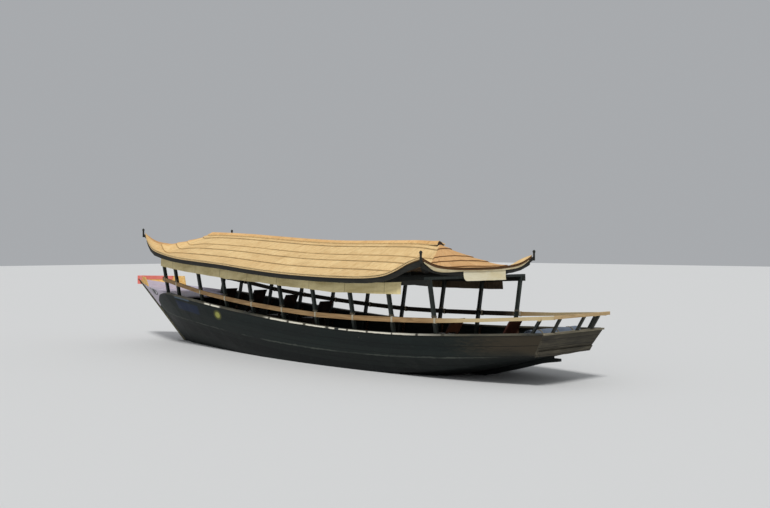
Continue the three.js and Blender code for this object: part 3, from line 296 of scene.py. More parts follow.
def hullMaterial(name, marked):
    material, place = startMaterial(name, 0.68, 0.0, 0.2)
    look = hullLook
    x, y, z = axesOf(place)
    broad = longGrain(place, (0.9, 0.9, 2.6), 5, 0.6)
    fine = longGrain(place, (7, 7, 34), 5, 0.65, 0.4)
    streaks = longGrain(place, (16, 16, 1.6), 4, 0.6)
    low, high = ("deep", "dark") if marked else ("low", "deep")
    color = rampOf(broad, [(0.3, hullPaint[low]), (0.6, hullPaint[high]), (0.8, hullPaint[high])])
    depth = minus(curveOf(x, sheerCurve), z)
    tone = boardTones(depth, look["board"])
    for mask, share in ((tone, look["toneShare"]), (maskOf(fine, 0.5, 0.78), look["grainShare"]),
                        (maskOf(streaks, 0.55, 0.8), look["streakShare"])):
        color = washOf(color, mask, share, hullPaint["faded"])
    height = minus(z, curveOf(x, strakeCurve))
    # a paler band along the strake line, patchy along its length
    strakeBand = plus(mathOf("ABSOLUTE", minus(height, look["strakeBandLevel"])), times(fine, look["strakeBandGrain"]))
    strakeBand = times(fadeOf(strakeBand, *look["strakeBandEdge"]), maskOf(broad, 0.36, 0.6))
    color = blendOf(strakeBand, color, hullPaint["strakeBandTone"])
    scuffs = longGrain(place, (5, 5, 19), 7, 0.7, 1.2)
    color = blendOf(maskOf(scuffs, 0.70, 0.74), color, hullPaint["bare"])
    aft = stirred(x, fine, look["ragX"])
    rise = stirred(z, broad, look["ragZ"])
    worn = times(maskOf(aft, *look["wornX"]), maskOf(rise, *look["wornZ"]))
    color = washOf(color, worn, look["wornShare"], hullPaint["sternWood"])
    seams = boardLines(depth, look["board"], look["seam"])
    color = washOf(color, seams, look["seamShare"], hullPaint["seam"])
    if marked:
        color = bowMarks(x, y, z, fine, color)
    height = plus(fine, times(scuffs, 0.6))
    return finished(material, color, (minus(height, times(seams, 1.5)), 0.35, 0.004), (broad, 0.55, 0.8))


markSet = {
    "eye": (-4.86, 1.192), "eyeTilt": 0.10,
    "eyeRings": (((0.28, 0.088), "pupil"), ((0.22, 0.060), "white"), ((0.14, 0.056), "pupil")),
    "patch": (-3.50, -2.52), "patchSoft": 0.05, "patchTilt": (3.0, 0.1), "band": (0.78, 0.82, 0.98, 1.01),
    "strip": (1.04, 1.055), "stripEnd": (-2.8, -2.9), "spot": (-1.71, 0.795), "spotSize": (0.15, 0.10),
    "spotRings": ((1.0, "ring"), (0.62, "olive")), "edgeX": 4.22, "lean": (1.2, -3.1), "round": (1.10, -42.0),
    "edgeSoft": 0.03, "edgeRag": 0.12,
}


def spotMask(x, z, centre, size, soft):
    across = mathOf("DIVIDE", minus(x, centre[0]), size[0])
    up = mathOf("DIVIDE", minus(z, centre[1]), size[1])
    far = mathOf("SQRT", plus(times(across, across), times(up, up)))
    return fadeOf(far, 1 - soft, 1 + soft)


def bowMarks(x, y, z, fine, color):
    marks = markSet
    rag = times(minus(fine, 0.5), marks["edgeRag"])
    facing = axesOf(addNode("NewGeometry", tree=x.id_data).outputs["Normal"])[1]
    outside = mathOf("GREATER_THAN", times(facing, y), 0.0)
    # the dark paint ends on a line that leans with the stem and is rounded under the sheer
    lean = times(minus(z, marks["lean"][0]), marks["lean"][1])
    high = mathOf("MAXIMUM", minus(z, marks["round"][0]), 0.0)
    rounded = times(times(high, high), marks["round"][1])
    edge = plus(plus(plus(x, marks["edgeX"]), lean), rounded)
    pale = fadeOf(plus(edge, rag), -marks["edgeSoft"], marks["edgeSoft"])
    (fore, aft), soft = marks["patch"], marks["patchSoft"]
    navy = times(maskOf(x, fore - soft, fore + soft), fadeOf(x, aft - soft, aft + soft))
    navy = times(navy, outside)
    startX, tilt = marks["patchTilt"]
    level = plus(z, times(plus(x, startX), tilt))
    band = times(maskOf(level, *marks["band"][:2]), fadeOf(level, *marks["band"][2:]))
    color = washOf(color, times(navy, band), 0.8, hullPaint["navy"])
    strip = times(maskOf(level, *marks["strip"]), times(navy, maskOf(x, *marks["stripEnd"])))
    color = washOf(color, strip, 0.45, hullPaint["paleBlue"])
    for share, tone in marks["spotRings"]:
        spot = spotMask(x, z, marks["spot"], [share * size for size in marks["spotSize"]], 0.25)
        color = washOf(color, times(spot, outside), 0.85, hullPaint[tone])
    lilac = washOf(hullPaint["lilac"], maskOf(fine, 0.5, 0.8), 0.35, hullPaint["dullLilac"])
    color = blendOf(pale, color, lilac)
    level = plus(z, times(minus(x, marks["eye"][0]), marks["eyeTilt"]))
    for size, tone in marks["eyeRings"]:
        shape = times(spotMask(x, level, marks["eye"], size, 0.1), outside)
        color = washOf(color, shape, 0.92, hullPaint[tone])
    return color


def plainWood(name, tones, stretch, roughness=0.78, boards=None):
    # tones are dark, middle and light; boards is (axis, width of a board)
    material, place = startMaterial(name, roughness)
    dark, middle, light = paints(tones)
    color, field = woodGrain(place, stretch, [(0.28, dark), (0.5, middle), (0.74, light)])
    color = washOf(color, maskOf(grainOf(place, 1.7, 4, 0.6), 0.45, 0.75), 0.45, dark)
    height = field
    if boards:
        axis, pitch = boards
        value = axesOf(place)[axis]
        lines = boardLines(value, pitch, 0.005)
        color = washOf(color, boardTones(value, pitch), 0.4, dark)
        color = blendOf(lines, color, paint(20, 17, 13))
        height = minus(field, times(lines, 2.5))
    return finished(material, color, (height, 0.5, 0.003),
                    (field, roughness - 0.12, min(roughness + 0.12, 1)))


def wornPaint(name, colors, wear, roughness=0.55, boards=None):
    material, place = startMaterial(name, roughness)
    low, high, bare = paints(colors)
    broad = grainOf(place, 3.0, 5, 0.6)
    fine = grainOf(place, 26.0, 6, 0.7, 0.5)
    color = rampOf(broad, [(0.3, low), (0.7, high)])
    chips = maskOf(plus(fine, times(broad, 0.3)), wear, wear + 0.05)
    color = blendOf(chips, color, bare)
    height = minus(fine, times(chips, 0.6))
    if boards:
        lines = boardLines(axesOf(place)[1], boards, 0.006)
        color = washOf(color, lines, 0.75, paint(84, 76, 80))
        height = minus(height, times(lines, 2.0))
    return finished(material, color, (height, 0.3, 0.002), (broad, roughness - 0.1, roughness + 0.15))


gunwaleSet = {
    "middle": (0.0, 0.3, 3.4, 5.2), "fore": (-2.2, -2.1, -1.6, -1.5), "top": (-0.004, 0.006),
    "lip": (0.001, 0.007), "rim": (-0.022, -0.010), "postShadowPitch": (0.56, 0.05), "ragZ": 0.03, "ragY": 0.05,
}


def gunwaleMaterial():  # dark paint, worn lighter along the top; a painted highlight in lengths along the outer edge, broken by painted shadows of the posts
    material, place = startMaterial("gunwalePaint", 0.6)
    look = gunwaleSet
    x, y, z = axesOf(place)
    fine = longGrain(place, (4, 30, 30), 6, 0.65, 0.5)
    low, high, worn = paints(((24, 28, 28), (40, 44, 41), (80, 77, 66)))
    color = rampOf(fine, [(0.3, low), (0.6, high), (0.85, worn)])
    runs = longGrain(place, (2.2, 0.4, 0.4), 3, 0.5)
    middle, fore = [times(maskOf(x, *look[key][:2]), fadeOf(x, *look[key][2:]))
                    for key in ("middle", "fore")]
    reach = plus(times(maskOf(runs, 0.30, 0.34), middle), fore)
    rise = stirred(minus(z, curveOf(x, sheerCurve)), fine, look["ragZ"])
    out = minus(mathOf("ABSOLUTE", y), curveOf(x, halfCurve))
    out = stirred(out, fine, look["ragY"])
    top = times(maskOf(rise, *look["top"]), maskOf(runs, 0.2, 0.7))
    color = washOf(color, top, 0.7, paint(104, 98, 82))
    # painted shadows of the posts break the painted highlight at even steps
    postShadows = boardLines(plus(x, times(runs, 0.5)), *look["postShadowPitch"])
    edge = times(maskOf(rise, *look["lip"]), maskOf(out, *look["rim"]))
    edge = times(edge, minus(1.0, postShadows))
    # painted highlight: the sunlit outer edge of the cap, near white
    color = washOf(color, times(reach, edge), 0.95, paint(244, 238, 220))
    return finished(material, color, (fine, 0.4, 0.003))


matTones = {
    "light": paint(252, 228, 174), "middle": paint(240, 206, 148), "dark": paint(200, 156, 98),
    "grey": paint(198, 164, 112), "cut": paint(176, 132, 78), "jointAndShadeBrown": paint(84, 56, 30),
}
matLook = {
    "strands": (70.0, 5.0, 5.0), "broad": (1.3, 3.0, 3.0), "tufts": (17.0, 4.5, 7.0), "sheet": 0.86,
    "joint": 0.006, "shift": 0.37, "skip": 13.0, "shade": (0.02, 0.16), "lath": (0.16, 0.42),
    "lathHalf": 0.03,
}


def weaveOf(place):  # metres along and down the slope, and the number of the course
    return addNode("Attribute", tree=place.id_data, attribute_name="weave").outputs["Vector"]


def matMaterial(name, tint=(1, 1, 1, 1)):  # leaf mat in sheets side by side; its strands run down the slope
    material, place = startMaterial(name, 0.9)
    look, tones = matLook, matTones
    axes = axesOf(weaveOf(place))
    along, _, course = axes

    def fieldOf(key, *grain):
        scaled = [times(axis, scale) for axis, scale in zip(axes, look[key])]
        return grainOf(vectorOf(*scaled), 1.0, *grain)

    strands, broad = fieldOf("strands", 4, 0.65, 0.2), fieldOf("broad", 5, 0.6)
    tufts = fieldOf("tufts", 4, 0.6, 0.3)
    sheetPlace = plus(along, times(course, look["shift"]))
    tone = boardTones(plus(sheetPlace, times(course, look["skip"])), look["sheet"])
    joints = boardLines(sheetPlace, look["sheet"], look["joint"])
    color = rampOf(strands, [(0.25, tones["dark"]), (0.48, tones["middle"]), (0.72, tones["light"])])
    fall = addNode("Attribute", tree=place.id_data, attribute_name="fall").outputs["Fac"]
    # painted shade: each course is darker at its top, under the lap of the course above; the joints between
    # sheets are darker too
    for mask, share, over in (
            (maskOf(broad, 0.4, 0.75), 0.4, "grey"), (maskOf(tufts, 0.5, 0.7), 0.55, "dark"),
            (tone, 0.25, "dark"), (joints, 0.5, "jointAndShadeBrown"), (fadeOf(fall, *look["shade"]), 0.7, "jointAndShadeBrown")):
        color = washOf(color, mask, share, tones[over])
    color = blendOf(1.0, color, tint, "MULTIPLY")
    return finished(material, color, (minus(strands, times(joints, 1.5)), 0.6, 0.006))


def cutEdgeMaterial(name, low, high):
    material, place = startMaterial(name, 0.95)
    fibre = longGrain(place, (60, 60, 180), 4, 0.7)
    return finished(material, rampOf(fibre, [(0.3, low), (0.7, high)]), (fibre, 0.8, 0.006))


def undersideMaterial():  # split laths along and across, seen from below
    material, place = startMaterial("matUnderside", 0.95)
    along, down, _ = axesOf(weaveOf(place))
    fibre = longGrain(place, (40, 40, 60), 4, 0.7)
    shades = paints(((50, 38, 26), (88, 66, 42), (120, 92, 56), (160, 128, 82)))
    mat, lath = [rampOf(fibre, [(0.3, low), (0.7, high)]) for low, high in (shades[:2], shades[2:])]
    laths = mathOf("MAXIMUM", *[boardLines(value, pitch, matLook["lathHalf"])
                                for value, pitch in zip((down, along), matLook["lath"])])
    return finished(material, blendOf(laths, mat, lath), (plus(fibre, times(laths, 2.0)), 0.7, 0.008))


def clothMaterial(name, colors, stripes=None):  # stripes, (pitch, start), need a third color
    material, place = startMaterial(name, 0.88, sheen=0.2)
    low, high, *seam = paints(colors)
    thread = grainOf(place, 420.0, 2, 0.5)
    broad = longGrain(place, (1.6, 1.6, 5), 6, 0.62, 0.4)
    color = rampOf(broad, [(0.32, low), (0.58, high), (0.8, high)])
    stains = longGrain(place, (5, 5, 2), 6, 0.7, 0.8)
    color = washOf(color, maskOf(stains, 0.55, 0.75), 0.5, low)
    if stripes:
        pitch, start = stripes
        seams = boardLines(plus(axesOf(place)[0], start), pitch, 0.012)
        color = washOf(color, seams, 0.55, seam[0])
    return finished(material, color, (plus(thread, broad), 0.25, 0.002))


def metalMaterial(name, low, high, metallic, roughness):
    material, place = startMaterial(name, roughness, metallic)
    field = grainOf(place, 14.0, 6, 0.65, 0.4)
    return finished(material, rampOf(field, [(0.35, low), (0.7, high)]), (field, 0.25, 0.002),
                    (field, roughness - 0.1, roughness + 0.2))


def stanchionMaterial():  # bare wood above, dark paint on the stanchions below the rail
    material, place = startMaterial("sternRailWood", 0.72)
    low, middle, high, dark, scuffed = paints(((150, 122, 84), (192, 164, 120), (214, 190, 148), (34, 38, 36),
                                               (62, 62, 54)))
    color, field = woodGrain(place, (14, 2, 30), [(0.3, low), (0.55, middle), (0.8, high)])
    z = axesOf(place)[2]
    color = blendOf(maskOf(z, 1.112, 1.124), rampOf(field, [(0.3, dark), (0.7, scuffed)]), color)
    return finished(material, color, (field, 0.4, 0.003))


def railMaterial(name, tones, pale):  # painted sunlight: lighter towards the stern, where the rail leaves the roof's shade; the leg below the aft end is dark
    material, place = startMaterial(name, 0.72)
    x, _, z = axesOf(place)
    low, middle, high = paints(tones)
    color, field = woodGrain(place, (2.4, 26, 34), [(0.28, low), (0.52, middle), (0.78, high)])
    # painted light: the pale wash towards the stern stands for sunlight on the rail beyond the roof's shade
    color = washOf(color, maskOf(x, *pale), 0.7, paint(214, 196, 152))
    leg = times(maskOf(x, 6.32, 6.325), fadeOf(z, 1.078, 1.086))
    color = blendOf(leg, color, paint(40, 43, 39))
    return finished(material, color, (field, 0.45, 0.003), (field, 0.6, 0.85))


finishes = {
    "hull": hullMaterial("hullPaint", False),
    "strake": hullMaterial("strakePaint", True),
    "gunwale": gunwaleMaterial(),
    "sternRail": stanchionMaterial(),
    "under": undersideMaterial(),
    "mat": matMaterial("leafMat"),
    "sternMat": matMaterial("sternLeafMat", paint(240, 222, 214)),
    "ridge": matMaterial("ridgeMat", paint(255, 240, 226)),
    "cutEdge": cutEdgeMaterial("matCutEdge", matTones["cut"], matTones["light"]),
    # painted shade: the edges of the inner courses on the end slopes are dark brown for the shade under each
    # course
    "shadedCourseEdge": cutEdgeMaterial("matShadedCourseEdge", paint(112, 80, 48), paint(158, 118, 74)),
    "brownEdge": cutEdgeMaterial("matBrownEdge", paint(84, 57, 35), paint(128, 92, 58)),
    "lilac": wornPaint("deckPaint", ((182, 173, 188), (206, 199, 212), (142, 128, 114)), 0.82, boards=0.19),
    "red": wornPaint("prowPaint", ((238, 112, 100), (252, 152, 138), (206, 112, 92)), 0.84, 0.5),
    "rail": railMaterial("poleWood", ((116, 88, 56), (158, 126, 86), (190, 160, 114)), (4.3, 5.4)),
    # painted shade: a darker copy of the pole wood for the starboard poles, which lie in the roof's shade
    "shadedRail": railMaterial("shadedPoleWood", ((36, 32, 26), (58, 50, 40), (82, 70, 54)), (4.4, 4.6)),
    "iron": metalMaterial("paintedIron", paint(44, 46, 46), paint(88, 82, 76), 0.6, 0.6),
    "bronze": metalMaterial("dullBronze", paint(110, 82, 44), paint(182, 146, 84), 0.9, 0.38),
}
woods = (  # finish, material, tones, stretch of the grain, and what differs from the usual
    ("stem", "stemWood", ((58, 58, 46), (96, 94, 74), (138, 134, 104)), (8, 8, 2.5), 0.8),
    ("transom", "transomWood", ((44, 41, 34), (74, 69, 57), (104, 98, 82)), (20, 2, 20), 0.85, (2, 0.13)),
    ("transomCap", "transomCapWood", ((92, 86, 70), (132, 124, 104), (166, 156, 134)), (20, 2, 20), 0.8),
    ("cheek", "cheekWood", ((204, 152, 80), (242, 196, 116), (252, 218, 154)), (3, 24, 24)),
    ("boards", "floorWood", ((78, 58, 40), (128, 98, 68), (164, 132, 96)), (1.6, 22, 22), 0.8, (1, 0.16)),
    ("aftBoards", "aftDeckWood", ((66, 54, 42), (108, 90, 70), (142, 122, 98)), (22, 1.6, 22), 0.82,
     (0, 0.15)),
    ("frame", "frameStain", ((22, 28, 26), (33, 40, 37), (56, 62, 54)), (26, 26, 3), 0.55),
    ("plate", "plateStain", ((22, 23, 20), (34, 34, 29), (54, 52, 44)), (3, 26, 26), 0.6),
    ("varnish", "redVarnish", ((40, 22, 18), (68, 36, 29), (104, 60, 46)), (6, 6, 6), 0.42),
    ("darkVarnish", "darkVarnish", ((26, 20, 17), (44, 31, 26), (72, 52, 42)), (6, 6, 6), 0.42),
    ("rib", "ribWood", ((48, 34, 26), (86, 62, 46), (116, 88, 66)), (10, 10, 10), 0.8),
    # partly painted light: the eave board's cream also stands for sunlight on the stern's end
    ("cream", "eaveBoardPaint", ((176, 158, 120), (214, 198, 158), (236, 224, 192)), (20, 3, 20)),
    ("gable", "gableStain", ((34, 28, 22), (52, 42, 34), (74, 60, 48)), (6, 6, 20)),
)
cloths = (
    ("canvas", "valanceCanvas", ((198, 180, 126), (232, 215, 162), (124, 108, 72)), (1.0, 0.36)),
    # painted shade: a dark brown copy of the valance canvas for the starboard valance, whose inner face lies
    # in shade
    ("shadedCanvas", "brownCanvas", ((74, 62, 48), (104, 90, 70), (50, 42, 32)), (1.0, 0.36)),
    ("blind", "blindCanvas", ((240, 224, 180), (253, 244, 212))),
    ("awning", "awningCloth", ((58, 67, 80), (96, 108, 124))),
    ("dullCord", "tieCord", ((84, 78, 64), (122, 114, 96))),
    ("cord", "lashingCord", ((150, 140, 116), (200, 192, 170))),
)
for finish, *row in woods:
    finishes[finish] = plainWood(*row)
for finish, *row in cloths:
    finishes[finish] = clothMaterial(*row)
print("finishes made:", len(finishes))


# Mesh helpers

def newShape():
    return {"points": [], "faces": [], "kinds": [], "weave": []}


def addSlab(shape, top, under, weave=(), kinds=(0, 1, 2)):
    # a closed body between two grids; kinds are the finishes of the top, the edges and the underside;
    # weave holds the mat's coordinates and, from 0 to 1, how far down its course a point lies
    rows, columns = len(top), len(top[0])
    start = len(shape["points"])
    for grid in (top, under):
        shape["points"] += [tuple(point) for row in grid for point in row]
        shape["weave"] += [values for row in weave for values in row]
    a = lambda i, j: start + i * columns + j
    b = lambda i, j: a(i, j) + rows * columns
    last, end = columns - 1, rows - 1
    faces = []
    for i in range(end):
        for j in range(last):
            faces.append(((a(i, j), a(i + 1, j), a(i + 1, j + 1), a(i, j + 1)), kinds[0]))
            faces.append(((b(i, j), b(i, j + 1), b(i + 1, j + 1), b(i + 1, j)), kinds[2]))
        faces.append(((a(i, 0), b(i, 0), b(i + 1, 0), a(i + 1, 0)), kinds[1]))
        faces.append(((a(i, last), a(i + 1, last), b(i + 1, last), b(i, last)), kinds[1]))
    for j in range(last):
        faces.append(((a(0, j), a(0, j + 1), b(0, j + 1), b(0, j)), kinds[1]))
        faces.append(((a(end, j), b(end, j), b(end, j + 1), a(end, j + 1)), kinds[1]))
    points = shape["points"]
    volume = 0.0
    for corners, _ in faces:
        p, q, r, s = (Vector(points[k]) for k in corners)
        volume += p.dot(q.cross(r)) + p.dot(r.cross(s))
    for corners, kind in faces:
        shape["faces"].append(corners if volume > 0 else corners[::-1])
        shape["kinds"].append(kind)


def addTube(shape, path, radius, sides, closed=False, kind=0):  # a round bar along a path
    count = len(path)
    rings = []
    for i, point in enumerate(path):
        before = Vector(path[i - 1 if i or closed else 0])
        after = Vector(path[(i + 1) % count if i < count - 1 or closed else i])
        along = (after - before).normalized()
        guide = Vector((0, 0, 1)) if abs(along.z) < 0.9 else Vector((1, 0, 0))
        across = along.cross(guide).normalized()
        up = across.cross(along)
        wide = radius[i] if isinstance(radius, (list, tuple)) else radius
        ring = []
        for k in range(sides):
            turn = 2 * math.pi * k / sides
            spoke = across * math.cos(turn) + up * math.sin(turn)
            ring.append(len(shape["points"]))
            shape["points"].append(tuple(Vector(point) + spoke * wide))
        rings.append(ring)
    for i in range(count if closed else count - 1):
        first, second = rings[i], rings[(i + 1) % count]
        for k in range(sides):
            n = (k + 1) % sides
            shape["faces"].append((first[k], first[n], second[n], second[k]))
            shape["kinds"].append(kind)
    if not closed:
        shape["faces"] += [tuple(reversed(rings[0])), tuple(rings[-1])]
        shape["kinds"] += [kind, kind]


def makePiece(name, shape, materials, smooth=True):
    mesh = bpy.data.meshes.new(name)
    mesh.from_pydata(shape["points"], [], shape["faces"])
    for material in materials:
        mesh.materials.append(finishes[material])
    mesh.polygons.foreach_set("material_index", shape["kinds"])
    if shape["weave"]:
        weave = mesh.attributes.new("weave", "FLOAT_VECTOR", "POINT")
        weave.data.foreach_set("vector", [value for values in shape["weave"] for value in values[:3]])
        fall = mesh.attributes.new("fall", "FLOAT", "POINT")
        fall.data.foreach_set("value", [values[3] for values in shape["weave"]])
    if smooth:
        mesh.polygons.foreach_set("use_smooth", [True] * len(mesh.polygons))
        mesh.set_sharp_from_angle(angle=math.radians(40))
    mesh.update()
    piece = bpy.data.objects.new(name, mesh)
    bpy.context.scene.collection.objects.link(piece)
    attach(piece, "hull")
    return piece


# Mat roof: five courses on each slope, over a base mat

roofRows = (  # eave x, half breadth, eave z, ridge x, ridge z, share of the hips' hollow
    (4.610, 1.530, 2.090, 3.670, 2.305, 1.0), (4.500, 1.540, 2.062, 3.650, 2.307, 0.9),
    (4.300, 1.550, 1.995, 3.600, 2.312, 0.75), (4.050, 1.555, 1.882, 3.520, 2.322, 0.55),
    (3.750, 1.560, 1.788, 3.400, 2.335, 0.35), (3.350, 1.570, 1.742, 3.150, 2.346, 0.2),
    (2.800, 1.580, 1.730, 2.700, 2.346, 0.12), (2.000, 1.580, 1.738, 2.000, 2.344, 0.1),
    (1.000, 1.575, 1.770, 1.000, 2.349, 0.1), (0.000, 1.550, 1.833, 0.000, 2.388, 0.1),
    (-1.000, 1.510, 1.911, -1.000, 2.445, 0.1), (-1.900, 1.455, 1.964, -1.800, 2.492, 0.12),
    (-2.600, 1.405, 2.006, -2.400, 2.520, 0.16), (-3.100, 1.365, 2.054, -2.800, 2.536, 0.25),
    (-3.550, 1.325, 2.124, -3.100, 2.545, 0.45), (-3.900, 1.290, 2.202, -3.300, 2.550, 0.7),
    (-4.120, 1.255, 2.315, -3.380, 2.552, 0.88), (-4.260, 1.235, 2.450, -3.420, 2.553, 0.97),
    (-4.330, 1.225, 2.560, -3.430, 2.553, 1.0),
)
hollowRows = ((0, 0), (0.06, 0.045), (0.25, 0.147), (0.5, 0.228), (0.68, 0.264), (0.8, 0.240), (0.87, 0.198),
              (0.94, 0.105), (1, 0))
endRows = (  # share of the breadth, of the rise at the corners, and of the hollow
    (1, 1, 1), (0.97, 0.88, 0.9), (0.92, 0.72, 0.75), (0.81, 0.42, 0.6), (0.65, 0.19, 0.45),
    (0.35, 0.03, 0.35), (0, 0, 0.3),
)
roofSet = {
    "ridgeHalf": 0.015, "thickness": 0.035, "sternMiddle": 1.882, "bowMiddle": 2.290, "step": 0.045,
    "courses": (0.0, 0.125, 0.365, 0.53, 0.75, 1.0), "columns": 4, "baseColumns": 14, "lap": 0.014,
    "base": 0.014, "low": 0.010, "high": 0.009, "sheet": 0.013, "top": 0.003, "rag": 0.005, "fray": 0.0012,
    "sway": 0.004, "fine": 12, "ragWave": 7, "swayWave": 2.1, "swaySeed": 9, "sideFall": 1.6,
    "endFall": 1.0,
}


def fineLine(rows):
    fine = roofSet["fine"]
    return [curveThrough(rows, i / fine) for i in range(fine * (len(rows) - 1) + 1)]


hollowLine, endLine = fineLine(hollowRows), fineLine(endRows)


def lookUp(line, value, falling):
    for first, second in zip(line, line[1:]):
        low, high = (second[0], first[0]) if falling else (first[0], second[0])
        if low <= value <= high:
            share = (value - first[0]) / ((second[0] - first[0]) or 1)
            return [mix(a, b, share) for a, b in zip(first, second)]
    return line[-1]


def hollowAt(share):
    return lookUp(hollowLine, kept(share), False)[1]


def sidePoint(row, share, side, lift=0.0):
    x = mix(row[3], row[0], share)
    y = side * mix(roofSet["ridgeHalf"], row[1], share)
    return (x, y, mix(row[4], row[2], share) - hollowAt(share) * row[5] + lift)


def endPoint(corner, middleZ, across, share, lift=0.0):
    breadth, rise, dip = lookUp(endLine, min(abs(across), 1.0), True)
    x = mix(corner[3], corner[0], share)
    y = math.copysign(1, across) * mix(roofSet["ridgeHalf"], corner[1], share) * breadth
    return (x, y, mix(corner[4], mix(middleZ, corner[2], rise), share) - hollowAt(share) * dip + lift)


def sideRibs():  # rows of the slope, closely set
    ribs = []
    for i in range(len(roofRows) - 1):
        count = max(2, round(abs(roofRows[i][0] - roofRows[i + 1][0]) / roofSet["step"]))
        ribs += [curveThrough(roofRows, i + k / count) for k in range(count)]
    return ribs + [list(roofRows[-1])]


def endStations():
    steps = [1.0, 0.985, 0.97, 0.955, 0.94, 0.92, 0.9, 0.87, 0.84] + [0.8 - 0.04 * k for k in range(20)]
    return [-value for value in steps] + [0.001] + steps[::-1]


def matSlope(name, node, stations, pointAt, alongOf, fallLength, materials, seed):
    # stations are the places along the eave; pointAt gives a point at (station, share, lift)
    random.seed(seed)
    look, shape = roofSet, newShape()
    shares = [j / look["baseColumns"] for j in range(look["baseColumns"] + 1)]
    top, bottom = [[[pointAt(s, share, -look[key]) for share in shares] for s in stations]
                   for key in ("base", "thickness")]
    weave = [[(alongOf(s), share * fallLength, 0, share) for share in shares] for s in stations]
    addSlab(shape, top, bottom, weave)
    bounds = look["courses"]
    steps = [j / look["columns"] for j in range(look["columns"] + 1)]
    for k in range(len(bounds) - 1):
        start = max(bounds[k] - look["lap"], 0.0)
        grid, floor, weave = [], [], []
        for s in stations:
            along = alongOf(s)
            fray = random.uniform(-look["fray"], look["fray"])
            end = bounds[k + 1] + ripple(along * look["ragWave"], k, seed) * look["rag"] + fray
            lift = ripple(along * look["swayWave"], k + look["swaySeed"], seed) * look["sway"]
            line = [(mix(start, end, f), mix(-look["low"], look["high"] + lift, f), f) for f in steps]
            grid.append([pointAt(s, share, rise) for share, rise, _ in line])
            floor.append([pointAt(s, share, rise - mix(look["top"], look["sheet"], f))
                          for share, rise, f in line])
            weave.append([(along, share * fallLength, k + 1, f) for share, _, f in line])
        addSlab(shape, grid, floor, weave, kinds=(0, 1 if k == len(bounds) - 2 else 3, 2))
    piece = makePiece(name, shape, materials)
    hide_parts(node)


def makeRoof():
    ribs = sideRibs()
    for name, side, seed in (("Port", -1, 3), ("Starboard", 1, 5)):
        matSlope("mat" + name, "RoofSlope" + name, ribs,
                 lambda rib, share, lift: sidePoint(rib, share, side, lift),
                 lambda rib: rib[0], roofSet["sideFall"], ("mat", "cutEdge", "under", "cutEdge"), seed)
    for name, corner, middle, seed in (("Stern", roofRows[0], roofSet["sternMiddle"], 7),
                                       ("Bow", roofRows[-1], roofSet["bowMiddle"], 11)):
        matSlope("mat" + name, "RoofSlope" + name, endStations(),
                 lambda across, share, lift: endPoint(corner, middle, across, share, lift),
                 lambda across: across * corner[1], roofSet["endFall"],
                 # the fourth finish, for the inner courses' edges, carries painted shade
                 ("sternMat", "brownEdge", "under", "shadedCourseEdge"), seed)


makeRoof()
print("mat roof made")


# Ridge cap, with a gablet under its stern end

ridgeSet = {
    "share": 0.062, "thickness": 0.022, "lift": 0.026, "endLift": 0.030, "endRun": 0.35, "half": 4,
    "rag": 0.003, "crown": 0.004, "ragWave": 9, "weaveStep": 0.04, "course": 7, "fall": 0.6,
}
gabletSet = {"in": 0.01, "below": 0.012, "rise": 0.052, "half": 0.10, "thickness": 0.016, "depth": 0.03}


def makeRidge():
    look, shape = ridgeSet, newShape()
    ribs = [row for row in sideRibs() if roofRows[-2][3] - 0.001 <= row[3] <= roofRows[1][3] + 0.001]
    aftX = ribs[0][3]
    half = look["half"]
    top, under, weave = [], [], []
    for row in ribs:
        x = row[3]
        extra = look["endLift"] * max(0.0, 1 - (aftX - x) / look["endRun"]) ** 2
        line = []
        for step in range(-half, half + 1):
            share = abs(step) / half * look["share"]
            side = 1 if step > 0 else -1
            rag = ripple(x * look["ragWave"], side) * look["rag"] if abs(step) == half else 0
            point = sidePoint(row, share, side, look["lift"] + extra + rag)
            line.append(point if step else (point[0], 0.0, point[2] + look["crown"]))
        top.append(line)
        under.append([(px, py, pz - look["thickness"]) for px, py, pz in line])
        weave.append([(x, look["weaveStep"] * abs(step), look["course"] + (step > 0), look["fall"])
                      for step in range(-half, half + 1)])
    addSlab(shape, top, under, weave)
    piece = makePiece("ridgeMat", shape, ("ridge", "cutEdge", "under"))
    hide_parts("RidgeCap")


def makeGablet():  # a small dark triangle closes the opening under the end of the ridge cap
    look, shape = gabletSet, newShape()
    corner = roofRows[0]
    x, foot, half = corner[3] - look["in"], corner[4] - look["below"], look["half"]
    peak, low = corner[4] + look["rise"], foot - look["depth"]
    top, under = [[[(x + out, y, z) for y, z in zip((-half, 0.0, half), levels)]
                   for out in (0, look["thickness"])]
                  for levels in ((foot, peak, foot), (low, low, low))]
    addSlab(shape, top, under, kinds=(0, 0, 0))
    makePiece("gabletStern", shape, ("gable",), smooth=False)


makeRidge()
makeGablet()
print("ridge made")


# Pale curved board under the edge of the stern mat; its cream is partly its own colour and partly painted
# sunlight on the stern's end

eaveBoard = {
    "x": 4.5998, "thickness": 0.008, "middle": 0.022, "port": 0.064, "starboard": 0.032, "reach": 0.965,
    "gap": 0.0006, "widenFrom": 0.25, "widenRun": 0.5, "endRun": 0.16, "endShare": 0.25,
}


